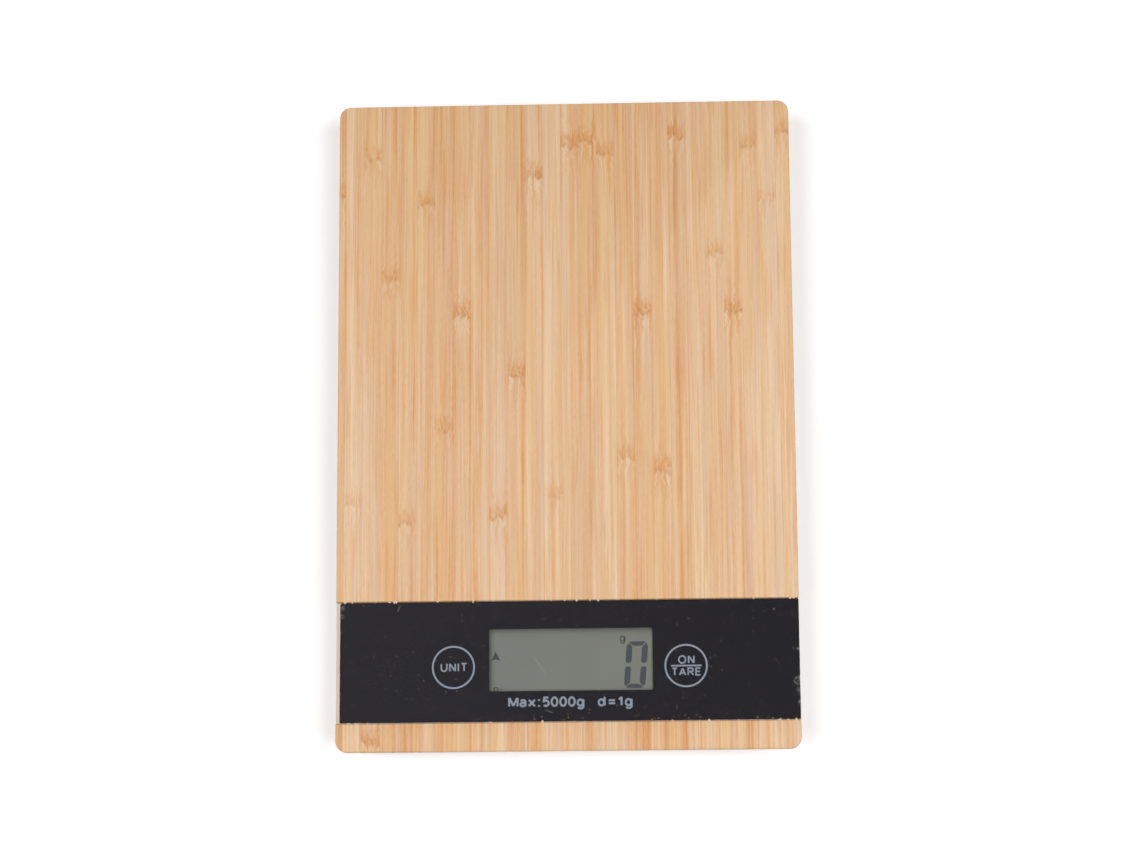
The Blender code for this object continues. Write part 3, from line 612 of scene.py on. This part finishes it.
def specks(finish, x, y, spacing, size, amount):
    """Small dots, some in every few cells of a grid of cells."""
    where = finish.vector(x * (1 / spacing), y * (1 / spacing), 7.0)
    near = finish.ease(finish.cells(where, 1.0), size * 0.4 / spacing, size / spacing, 1.0, 0.0)
    chance = finish.node("SeparateColor", sockets={0: finish.cells(where, 1.0, "Color")}, output="Red")
    return near * finish.ease(chance, 1.0 - amount, 1.0)


def print_finish():
    ink = Finish("back_print")
    x, y, _ = ink.axes()
    cloud = ink.noise(ink.vector(x * 0.03, y * 0.05, 2.0), detail=3.0)
    # painted reflection: the black is lighter towards the left, where the glossy sheet shows more light
    side = ink.ease(x, -80.0, 80.0)
    colour = ink.blend(side, (0.0252, 0.0236, 0.0287, 1), (0.0186, 0.0174, 0.0224, 1))
    colour = ink.blend(cloud * 0.3, colour, (0.026, 0.025, 0.027, 1))
    grain = ink.noise(ink.vector(x * 1.4, y * 1.4, 0.0), detail=3.0)
    colour = ink.blend(ink.ease(grain, 0.5, 0.8) * 0.12, colour, (0.1, 0.09, 0.07, 1))
    dust = specks(ink, x, y, 1.9, 0.36, 0.6)
    colour = ink.blend(dust * 0.28, colour, shade(176, 168, 150))
    lint = specks(ink, x, y + 3.0, 6.5, 0.4, 0.5)
    colour = ink.blend(lint * 0.55, colour, shade(190, 182, 160))
    low_edge = ink.ease(y, -104.5, -101.0, 1.0, 0.0) * ink.ease(x, -60.0, 30.0)
    crumbs = specks(ink, x + 1.0, y, 1.3, 0.4, 0.75) * low_edge
    colour = ink.blend(crumbs * 0.55, colour, shade(190, 160, 120))

    torn = ink.noise(ink.vector(x * 1.1, y * 1.1, 5.0), detail=3.0)
    scuffs = 0.0
    for middle, radius in SCUFFS:
        scuffs = mark(ink, x, y, middle, radius) + scuffs
    colour = ink.blend(scuffs * ink.ease(torn, 0.38, 0.6) * 0.38, colour, shade(132, 132, 144))
    for start, end in SCRATCHES:
        colour = ink.blend(scratch(ink, x, y, start, end, 0.25) * 0.25, colour, shade(170, 160, 150))
    for middle, radius in CHIPS:
        chip = mark(ink, x, y, middle, radius) * ink.ease(torn, 0.44, 0.56)
        colour = ink.blend(chip * 0.28, colour, shade(190, 188, 185))
    return ink.surface({"Base Color": colour, "Roughness": 0.5, "IOR": 1.05})


print_low, print_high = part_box("panel_print")
print("print:", round(print_low.z * 1000, 2), "to", round(print_high.z * 1000, 2), "mm high")

# %% [markdown]
# ## Legends
# The legends are printed in pale ink on the sheet's back, over the black. Each letter is drawn as a sign
# writer would draw it, in strokes of one width: a line of points is pulled up into a low wall, and a
# Solidify modifier thickens the wall on both sides. The shapes are real, so their outlines stay sharp at
# any distance.

# %% Strokes
INK = 0.024 * MM  # thickness of a printed shape
legend_z = print_high.z + 0.005 * MM


def arc(across, up, wide, tall, start, end, steps=10):
    """Points along part of an oval; its middle and half sizes, and angles in degrees."""
    angles = [math.radians(start + (end - start) * step / steps) for step in range(steps + 1)]
    return [(across + wide * math.cos(angle), up + tall * math.sin(angle)) for angle in angles]


oval = arc(0.5, 0.5, 0.5, 0.5, 0, 360, 24)
small_bowl = arc(0.45, 0.36, 0.45, 0.36, 0, 360, 20)
GLYPHS = {  # width over cap height, and strokes inside a box from 0 to 1
    "U": (0.78, [[(0, 1), *arc(0.5, 0.36, 0.5, 0.36, 180, 360), (1, 1)]]),
    "N": (0.78, [[(0, 0), (0, 1)], [(1, 0), (1, 1)], [(0.03, 0.97), (0.97, 0.03)]]),
    "I": (0.2, [[(0.5, 0), (0.5, 1)]]),
    "T": (0.76, [[(0, 1), (1, 1)], [(0.5, 0), (0.5, 1)]]),
    "O": (0.95, [oval]),
    "A": (0.88, [[(0, 0), (0.48, 0.98)], [(1, 0), (0.52, 0.98)], [(0.16, 0.3), (0.84, 0.3)]]),
    "R": (0.8, [[(0, 0), (0, 1), *arc(0.62, 0.75, 0.34, 0.25, 90, -90), (0, 0.5)], [(0.5, 0.48), (1, 0)]]),
    "E": (0.72, [[(1, 1), (0, 1), (0, 0), (1, 0)], [(0, 0.52), (0.92, 0.52)]]),
    "M": (1.0, [
        [(0, 0), (0, 1)],
        [(1, 0), (1, 1)],
        [(0.05, 0.97), (0.5, 0.05)],
        [(0.5, 0.05), (0.95, 0.97)],
    ]),
    "a": (0.72, [
        [*arc(0.47, 0.52, 0.42, 0.2, 165, 0), (0.89, 0.14), (0.97, 0.0)],
        [(0.88, 0.42), *arc(0.34, 0.2, 0.34, 0.2, 90, 270), (0.6, 0.02), (0.88, 0.16)],
    ]),
    "x": (0.76, [[(0, 0), (1, 0.74)], [(0, 0.74), (1, 0)]]),
    ":": (0.42, [[(0.5, -0.09), (0.5, 0.11)], [(0.5, 0.6), (0.5, 0.8)]]),
    "5": (0.72, [[(0.94, 1), (0.1, 1)], [(0.2, 1), (0.07, 0.42)], arc(0.48, 0.33, 0.52, 0.33, 142, -135)]),
    "0": (0.74, [oval]),
    "g": (0.76, [small_bowl, [(0.97, 0.74), (0.97, -0.1), *arc(0.5, -0.12, 0.47, 0.2, 0, -160)]]),
    "d": (0.78, [small_bowl, [(0.97, 0), (0.97, 1)]]),
    "=": (0.8, [[(0, 0.25), (1, 0.25)], [(0, 0.6), (1, 0.6)]]),
    "1": (0.46, [[(0.9, 0), (0.9, 1)], [(0.86, 0.95), (0, 0.68)]]),
}


def wall(bm, points, closed, z, height):
    """A low upright wall along points in millimetres."""
    verts = [bm.verts.new((x * MM, y * MM, z)) for x, y in points]
    pairs = list(zip(verts, verts[1:])) + ([(verts[-1], verts[0])] if closed else [])
    grown = bmesh.ops.extrude_edge_only(bm, edges=[bm.edges.new(pair) for pair in pairs])["geom"]
    top = [part for part in grown if isinstance(part, bmesh.types.BMVert)]
    bmesh.ops.translate(bm, vec=(0, 0, height), verts=top)


def letters(bm, text, left, right, base, height, stroke, z):
    """Write a line of text between two places; the spaces between letters take up what is left over.

    Each further stroke of a letter is a little taller, so that no two strokes have a face in common.
    """
    widths = [GLYPHS[letter][0] * height for letter in text]
    space = (right - left - sum(widths)) / max(1, len(text) - 1)
    for letter, width in zip(text, widths):
        for number, path in enumerate(GLYPHS[letter][1]):
            closed = math.dist(path[0], path[-1]) < CLOSE
            x, y = left + stroke / 2, base + stroke / 2
            points = [(x + u * (width - stroke), y + v * (height - stroke)) for u, v in path]
            wall(bm, points[:-1] if closed else points, closed, z, INK * (1 + 0.2 * number))
        left += width + space


def inked(name, bm, ink, stroke=0.0):
    """Make a printed piece; one drawn in walls gets its strokes' width, the same on both sides."""
    made = piece(name, bm, ink, "platform", smooth=False)
    if stroke:
        solid = made.modifiers.new("stroke", "SOLIDIFY")
        solid.thickness = stroke * MM
        solid.offset = 0.0
        solid.use_even_offset = True


def ink_finish(name, colour, tired):
    ink = Finish(name)
    x, y, _ = ink.axes()
    patchy = ink.noise(ink.vector(x * 2.2, y * 2.2, 1.0), detail=3.0)
    worn = tuple(part * 0.62 for part in colour[:3]) + (1,)
    tone = ink.blend(ink.ease(patchy, 0.35, 0.75) * tired, colour, worn)
    return ink.surface({"Base Color": tone, "Roughness": 0.55, "IOR": 1.1})


# %% [markdown]
# The two touch keys have no cap that moves. They are rings printed on the sheet, and a finger near one is
# felt by a spring behind it. Below the display stand the largest load and the step, as on any scale.

# %% Legends
KEYS = {"unit": (-39.35, -86.0), "tare": (40.85, -86.2)}  # the touch keys' middles, mm
KEY_RADIUS = 7.15
KEY_STROKE = 0.62
LEGENDS = [  # name, text, left and right end, foot, height and stroke in mm
    ("legend_unit", "UNIT", -43.8, -34.5, -87.55, 3.1, 0.52),
    ("legend_on", "ON", 38.1, 43.8, -85.6, 3.0, 0.52),
    ("legend_tare", "TARE", 35.8, 46.0, -89.7, 2.85, 0.52),
    ("legend_capacity", "Max:5000g", -20.5, 5.8, -99.95, 3.6, 0.7),
    ("legend_division", "d=1g", 10.3, 22.35, -99.95, 3.6, 0.7),
]
legend_ink = ink_finish("legend_ink", shade(152, 160, 174, GAIN), 0.15)
for name, text, left, right, foot, height, stroke in LEGENDS:
    bm = bmesh.new()
    letters(bm, text, left, right, foot, height, stroke, legend_z)
    inked(name, bm, legend_ink, stroke)


def circle_wall(bm, middle, radius, z):
    points = arc(*middle, radius, radius, 0, 360, 72)
    wall(bm, points[:-1], True, z, INK)


for key, (x, y) in KEYS.items():
    bm = bmesh.new()
    circle_wall(bm, (x, y), KEY_RADIUS, legend_z)
    inked(f"legend_{key}_ring", bm, legend_ink, KEY_STROKE)
x, y = KEYS["tare"]
bm = bmesh.new()
wall(bm, [(x - 5.2, y), (x + 5.3, y)], False, legend_z, INK)
inked("legend_divider", bm, legend_ink, 0.55)
print("legends:", [legend[1] for legend in LEGENDS])

# %% [markdown]
# ## The display
# A liquid crystal display looks like grey-green paper behind glass. The shade that the print's window casts
# on its edges, mostly at the top and on the left, is painted into the film's colour. The figures are thin
# dark shapes on it: a seven-segment nought, which has all but its middle bar, a small unit sign and two
# pointers.


# %% Display finish
WINDOW = {"left": -27.05, "right": 29.45, "top": -72.9, "bottom": -94.4}  # sides of the print's window, mm


def display_finish():
    film = Finish("display_film")
    x, y, _ = film.axes()
    paper = film.noise(film.vector(x * 0.06, y * 0.09, 4.0), detail=2.0)
    colour = film.blend(paper, shade(124, 127, 119, GAIN), shade(132, 135, 129, GAIN))
    # painted light: the film is lighter and yellower towards the right
    colour = film.blend(film.ease(x, -28.0, 30.0) * 0.25, colour, shade(136, 136, 123, GAIN))
    grain = film.noise(film.vector(x * 3.0, y * 3.0, 0.0), detail=2.0)
    colour = film.blend(film.ease(grain, 0.45, 0.75) * 0.12, colour, shade(105, 108, 98, GAIN))
    # painted shade: the film is darkened along the window's edges, most at the top and on the left, where
    # the print's window would shade it
    painted_window_shade = [
        film.ease(WINDOW["top"] - y, 0.0, 4.2, 0.26, 0.0),
        film.ease(WINDOW["top"] - y, 0.0, 1.6, 0.46, 0.0),
        film.ease(x - WINDOW["left"], 0.0, 2.4, 0.52, 0.0),
        film.ease(WINDOW["right"] - x, 0.0, 1.0, 0.24, 0.0),
        film.ease(y - WINDOW["bottom"], 0.0, 1.2, 0.26, 0.0),
    ]
    for shadow in painted_window_shade:
        colour = film.blend(shadow, colour, shade(62, 62, 52, GAIN))
    line = scratch(film, x, y, (-11.7, -82.3), (-7.5, -88.7), 0.3)
    colour = film.blend(line * 0.22, colour, shade(190, 195, 185, GAIN))
    line = scratch(film, x, y, (-22.6, -83.5), (-20.2, -85.3), 0.2)
    colour = film.blend(line * 0.2, colour, shade(180, 185, 170, GAIN))
    return film.surface({"Base Color": colour, "Roughness": 0.35, "IOR": 1.2})


# %% [markdown]
# The figures could be painted by the film's own shader. As thin shapes they are sharper, and the nought can
# be put together as a display does it, from six bars with small gaps between them, all slanted a little.

# %% Display figures
figure_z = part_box("lcd_glass")[1].z + 0.01 * MM
DIGIT_LOW, DIGIT_HIGH = (19.3, -93.7), (26.7, -77.6)  # the nought's box before its slant, mm
SLANT = 0.078  # sideways for each step up
BAR = 2.05  # a segment's width


def polygon(bm, points, z):
    """One flat face with corners given in millimetres."""
    return bm.faces.new([bm.verts.new((x * MM, y * MM, z)) for x, y in points])


def round_face(bm, face, radius):
    """Round a flat face's corners."""
    bmesh.ops.bevel(
        bm, geom=face.verts[:], offset=radius * MM, affect="VERTICES", segments=4, profile=0.5, material=-1
    )


def nought():
    """The nought's six segments, then its slant and thickness."""
    bm = bmesh.new()
    (left, bottom), (right, top) = DIGIT_LOW, DIGIT_HIGH
    middle = (bottom + top) / 2
    gap = 0.5
    for outer, inner in ((left, left + BAR), (right, right - BAR)):
        slope = 0.62 * (outer - inner)
        for near, far in ((middle - gap, bottom + 0.35), (middle + gap, top - 0.35)):
            toward = 1 if far > near else -1
            points = [
                (outer, near + toward * 0.4),
                ((outer + inner) / 2, near),
                (inner, near + toward * 0.4),
                (inner, far - toward * 1.6),
                (outer - slope * 0.55, far - toward * 0.2),
                (outer, far - toward * 1.1),
            ]
            round_face(bm, polygon(bm, points, figure_z), 0.4)
    for edge, toward in ((top, -1), (bottom, 1)):
        points = [
            (left + 1.3, edge),
            (right - 1.3, edge),
            (right - 0.75, edge + toward * 0.4),
            (right - BAR - 0.1, edge + toward * 1.5),
            (left + BAR + 0.1, edge + toward * 1.5),
            (left + 0.75, edge + toward * 0.4),
        ]
        round_face(bm, polygon(bm, points, figure_z), 0.3)
    for vert in bm.verts:
        vert.co.x += (vert.co.y - bottom * MM) * SLANT
    lift(bm, bm.faces[:], INK)
    return bm


def pointer():
    """The small triangle on the left, a flag for the scale in use."""
    bm = bmesh.new()
    points = [
        (-26.4, -83.8),
        (-24.8, -83.3),
        (-23.1, -83.8),
        (-24.25, -81.9),
        (-24.8, -80.4),
        (-25.3, -81.9),
    ]
    polygon(bm, points, figure_z)
    lift(bm, bm.faces[:], INK)
    return bm


def low_sign():
    """Part of a ring and a dot at the window's lower edge, where another sign is half hidden."""
    bm = bmesh.new()
    circle_wall(bm, (-24.7, -93.7), 0.7, figure_z)
    wall(bm, [(-23.2, -93.7), (-22.5, -93.7)], False, figure_z, INK)
    return bm


def gram_sign():
    bm = bmesh.new()
    letters(bm, "g", 18.0, 19.8, -77.6, 2.7, 0.4, figure_z)
    return bm


figure_ink = ink_finish("figure_ink", shade(84, 88, 94, GAIN), 0.2)
faint_ink = ink_finish("faint_ink", shade(78, 81, 80, GAIN), 0.25)
inked("figure_nought", nought(), figure_ink)
inked("figure_pointer", pointer(), faint_ink)
inked("figure_low_sign", low_sign(), faint_ink, 0.4)
inked("figure_gram", gram_sign(), faint_ink, 0.4)
print("figures at", round(figure_z * 1000, 2), "mm")

# %% [markdown]
# ## The body and the parts inside
# The tray under the board and the base are moulded in black plastic from a mould with a fine matt texture.
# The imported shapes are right, so they only get finishes. The parts inside get theirs as well, because they
# show when the board is lifted off or the battery door is open: brushed aluminium for the sensor bar,
# plated steel for the screws, green lacquer on the circuit board, and so on.


# %% Plain finishes
def moulded_finish(name, colour, rough):
    """Plastic from a spark-eroded mould: a fine matt grain with handling marks."""
    shell = Finish(name)
    x, y, z = shell.axes()
    where = shell.vector(x, y, z)
    grain = shell.noise(where, 5.0, 3.0)
    worn = shell.noise(where, 0.08, 4.0)
    pale = tuple(part * 1.6 + 0.004 for part in colour[:3]) + (1,)
    tone = shell.blend(shell.ease(worn, 0.4, 0.8) * 0.3, colour, pale)
    dust = specks(shell, x + z * 1.7, y + z * 1.1, 3.0, 0.22, 0.25)
    tone = shell.blend(dust * 0.35, tone, (0.25, 0.23, 0.2, 1))
    sheen = shell.ease(worn, 0.3, 0.7, rough + 0.06, rough - 0.06)
    return shell.surface({"Base Color": tone, "Roughness": sheen, "Normal": shell.bump(grain, 0.02)})


def metal_finish(name, colour, rough, stretch=(1, 1, 1)):
    """Bare or plated metal with fine marks, drawn out along the longest axis of stretch."""
    metal = Finish(name)
    x, y, z = metal.axes()
    marks = metal.noise(metal.vector(x * stretch[0], y * stretch[1], z * stretch[2]), 3.0, 3.0)
    stain = metal.noise(metal.vector(x, y, z), 0.25, 3.0)
    dull = tuple(part * 0.7 for part in colour[:3]) + (1,)
    tone = metal.blend(metal.ease(stain, 0.4, 0.8) * 0.6, colour, dull)
    sockets = {
        "Base Color": tone,
        "Metallic": 1.0,
        "Roughness": metal.ease(marks, 0.3, 0.7, rough - 0.08, rough + 0.1),
        "Normal": metal.bump(marks, 0.004),
    }
    return metal.surface(sockets)


def soft_finish(name, first, second, rough, size=1.0, depth=0.01):
    """Rubber, film, foam, lacquer or insulation: two close tones in a cloudy pattern."""
    skin = Finish(name)
    x, y, z = skin.axes()
    cloud = skin.noise(skin.vector(x, y, z), size, 3.0)
    tone = skin.blend(skin.ease(cloud, 0.3, 0.7), first, second)
    return skin.surface({"Base Color": tone, "Roughness": rough, "Normal": skin.bump(cloud, depth)})


def laminate_finish():
    """A circuit board: green lacquer over copper tracks, and bare glass fibre at the cut edges."""
    card = Finish("circuit_card")
    x, y, _ = card.axes()
    route = card.noise(card.vector((x * 0.12).math("FLOOR"), (y * 0.2).math("FLOOR"), 2.0), 3.1)
    step = card.ease(route, 0.49, 0.51)
    tracks = ((x + step * y) * 0.7).math("PINGPONG", 0.5)
    track = card.ease(tracks, 0.26, 0.3) * card.ease(card.noise(card.vector(x, y, 0.0), 0.06), 0.4, 0.5)
    tone = card.blend(track * 0.8, shade(20, 84, 52), shade(42, 122, 74))
    pads = card.ease(card.cells(card.vector(x, y, 0.0), 0.3), 0.16, 0.2, 1.0, 0.0)
    tone = card.blend(pads, tone, shade(196, 190, 170))
    facing = Wire(card, card.place.socket.node.outputs["Normal"])
    cut = card.node("SeparateXYZ", sockets={0: facing}, output="Z").math("ABSOLUTE")
    tone = card.blend(card.ease(cut, 0.3, 0.6, 1.0, 0.0), tone, shade(176, 168, 120))
    relief = card.bump(track, 0.03)
    return card.surface({"Base Color": tone, "Roughness": 0.32, "Metallic": pads * 0.7, "Normal": relief})


def striped_finish(name, first, second, pitch, axis):
    """Fine parallel lines: a contact strip's layers or a strain gauge's foil."""
    strip = Finish(name)
    across = strip.axes()[axis]
    line = (across * (1 / pitch)).math("PINGPONG", 0.5)
    tone = strip.blend(strip.ease(line, 0.22, 0.28), first, second)
    return strip.surface({"Base Color": tone, "Roughness": 0.4, "Normal": strip.bump(line, 0.01)})


def cell_finish():
    """A coin cell's can: bright nickel turned in fine rings."""
    can = Finish("cell_can")
    x, y, z = can.axes()
    low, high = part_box("coin_cell")
    middle = (low + high) / 2 / MM
    dx, dy = x - middle.x, y - middle.y
    rings = ((dx * dx + dy * dy).math("SQRT") * 5.0).math("PINGPONG", 0.5)
    tone = can.blend(can.noise(can.vector(x, y, z), 0.5), shade(205, 203, 198), shade(228, 226, 222))
    sockets = {"Base Color": tone, "Metallic": 1.0, "Roughness": can.ease(rings, 0.0, 0.5, 0.2, 0.34)}
    return can.surface({**sockets, "Normal": can.bump(rings, 0.004)})


# %% [markdown]
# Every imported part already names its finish. Each could be given its material by hand, but a table from
# those names to the finishes above covers all fifty parts in one loop, and two screws can't end up
# different.

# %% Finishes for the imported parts
finishes = {
    "black_print": print_finish(),
    "display_glass": display_finish(),
    "black_plastic": moulded_finish("black_moulding", (0.012, 0.012, 0.013, 1), 0.48),
    "grey_plastic": moulded_finish("grey_moulding", shade(165, 166, 166), 0.5),
    "adhesive": soft_finish("foam_tape", shade(206, 202, 192), shade(226, 222, 214), 0.7, 1.5, 0.03),
    "conductive_rubber": striped_finish("contact_layers", shade(40, 38, 40), shade(214, 150, 140), 0.25, 0),
    "circuit_laminate": laminate_finish(),
    "epoxy": soft_finish("potting", (0.008, 0.008, 0.009, 1), (0.016, 0.015, 0.015, 1), 0.18, 0.6, 0.05),
    "ceramic": soft_finish("ceramic_tan", shade(176, 142, 104), shade(198, 166, 128), 0.4, 2.0),
    "steel": metal_finish("plated_steel", shade(196, 196, 192), 0.3),
    "nickel": metal_finish("bright_nickel", shade(214, 208, 196), 0.22),
    "coin_cell_case": cell_finish(),
    "aluminium": metal_finish("drawn_aluminium", shade(206, 208, 210), 0.34, stretch=(2.5, 0.06, 2.5)),
    "silicone": soft_finish("milky_silicone", shade(220, 222, 218), shade(236, 237, 234), 0.35, 0.7, 0.08),
    "gauge_film": striped_finish("gauge_foil", shade(186, 118, 52), shade(120, 72, 34), 0.4, 0),
    "foot_rubber": soft_finish(
        "foot_rubber", (0.03, 0.03, 0.031, 1), (0.042, 0.041, 0.04, 1), 0.68, 2.5, 0.005
    ),
    "wire_red": soft_finish("red_insulation", shade(176, 22, 20), shade(200, 34, 30), 0.36),
    "wire_black": soft_finish("black_insulation", (0.012, 0.012, 0.012, 1), (0.022, 0.022, 0.022, 1), 0.36),
    "wire_green": soft_finish("green_insulation", shade(22, 122, 60), shade(34, 144, 74), 0.36),
    "wire_white": soft_finish("white_insulation", shade(224, 222, 216), shade(238, 237, 233), 0.36),
}
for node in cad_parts.values():
    for holder in node.material_slots:
        if holder.material.name in finishes:
            holder.material = finishes[holder.material.name]
        else:
            print("its own piece stands for", node.name)

# %% [markdown]
# ## Feet
# The four feet are turned rubber pads with a rounded rim and two shallow rings, which give them grip. One
# profile, drawn from the axis outwards, is spun full circle for each.


# %% Feet
def foot_mesh(low, high):
    bm = bmesh.new()
    middle = (low + high) / 2
    radius, height = (high.x - low.x) / MM / 2, (high.z - low.z) / MM
    profile = [  # distance from the axis and height, mm
        (0.0, 0.25),
        (2.4, 0.25),
        (2.6, 0.0),
        (3.9, 0.0),
        (4.1, 0.35),
        (4.9, 0.35),
        (5.1, 0.0),
        (radius - 0.9, 0.0),
        (radius - 0.26, 0.26),
        (radius, 0.9),
        (radius, height),
        (0.0, height),
    ]
    start = Vector((middle.x, middle.y, low.z))
    points = [bm.verts.new(start + Vector((out, 0, up)) * MM) for out, up in profile]
    edges = [bm.edges.new(pair) for pair in zip(points, points[1:])]
    bmesh.ops.spin(
        bm, geom=points + edges, cent=start, axis=(0, 0, 1), angle=math.tau, steps=48, use_merge=True
    )
    bmesh.ops.remove_doubles(bm, verts=bm.verts, dist=1e-7)
    return bm


feet = sorted(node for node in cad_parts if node.startswith("foot_"))
for name in feet:
    turned = foot_mesh(*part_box(name))
    piece(f"{name}_turned", turned, finishes["foot_rubber"], "base", instead_of=[name])
print("feet:", len(feet))

# %% [markdown]
# ## The sensor bar
# The aluminium bar bends by design: one end is screwed to the base and the other carries the board, and
# gauges on it measure how far it gives. It could ride on one body and leave a gap at the other. Instead a
# copy of the imported bar, with its loose triangles joined, rides on neither body.


def joined_copy(name):
    """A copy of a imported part's mesh with its loose triangles joined."""
    bm = bmesh.new()
    bm.from_mesh(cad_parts[name].data)
    bmesh.ops.remove_doubles(bm, verts=bm.verts, dist=1e-7)
    return bm


bar_mesh = joined_copy("load_cell")
bar = piece("sensor_bar", bar_mesh, finishes["aluminium"], None, instead_of=["load_cell"])
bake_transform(bar)

# %% [markdown]
# ## Wires
# The wires run from the base's contacts and the sensor bar to the circuit board, so one end stays put and
# the other travels with the board. Each one is a joined copy that rides on neither body, as the bar does.

# %% Wire copies
wire_colours = {name: f"wire_{name.rsplit('_', 1)[1]}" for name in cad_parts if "_wire_" in name}
for name, colour in sorted(wire_colours.items()):
    made = piece(f"{name}_run", joined_copy(name), finishes[colour], None, instead_of=[name])
    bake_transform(made)
print("wires:", sorted(wire_colours))

# %% [markdown]
# ## Stage
# A plain pale table, which glows a little so that it stays white round the scale, and two large soft
# lights. The sky is lighter near the horizon than overhead, so the glossy strip, which mirrors what is
# overhead, stays black.


# %% Table and lights
def table_finish():
    paper = Finish("table")
    x, y, _ = paper.axes()
    cloud = paper.noise(paper.vector(x * 0.004, y * 0.004, 0.0))
    colour = paper.blend(cloud, (0.92, 0.92, 0.92, 1), (0.95, 0.95, 0.95, 1))
    glow = {"Emission Color": (1, 1, 1, 1), "Emission Strength": 0.25}
    return paper.surface({"Base Color": colour, "Roughness": 0.7, **glow})


def make_stage():
    """A flat table."""
    bm = bmesh.new()
    bmesh.ops.create_grid(bm, x_segments=1, y_segments=1, size=4.0)
    mesh = bpy.data.meshes.new("table")
    bm.to_mesh(mesh)
    bm.free()
    mesh.materials.append(table_finish())
    table = bpy.data.objects.new("table", mesh)
    bpy.context.scene.collection.objects.link(table)


def make_sky(zenith, horizon):
    """A sky with one strength overhead and another towards the horizon."""
    world = bpy.data.worlds.new("sky")
    bpy.context.scene.world = world
    world.use_nodes = True
    tree = world.node_tree
    place = tree.nodes.new("ShaderNodeTexCoord")
    split = tree.nodes.new("ShaderNodeSeparateXYZ")
    ramp = tree.nodes.new("ShaderNodeMapRange")
    ramp.inputs["From Min"].default_value = 0.65
    ramp.inputs["From Max"].default_value = 0.93
    ramp.inputs["To Min"].default_value = horizon
    ramp.inputs["To Max"].default_value = zenith
    tree.links.new(place.outputs["Generated"], split.inputs[0])
    tree.links.new(split.outputs["Z"], ramp.inputs["Value"])
    tree.links.new(ramp.outputs[0], tree.nodes["Background"].inputs["Strength"])


def soft_light(name, at, size, power, aim=(0, 0, 0)):
    """A rectangular lamp turned towards a point."""
    lamp = bpy.data.objects.new(name, bpy.data.lights.new(name, "AREA"))
    lamp.data.shape = "RECTANGLE"
    lamp.data.size, lamp.data.size_y = size
    lamp.data.energy = power
    lamp.location = at
    lamp.rotation_euler = (Vector(aim) - Vector(at)).to_track_quat("-Z", "Y").to_euler()
    bpy.context.scene.collection.objects.link(lamp)


make_stage()
make_sky(zenith=0.11, horizon=1.03)
soft_light("window_left", (-1.2, -0.2, 1.9), (1.6, 1.6), 34.0)
soft_light("window_right", (1.2, -0.3, 1.9), (1.6, 1.6), 37.0)
print("stage set")
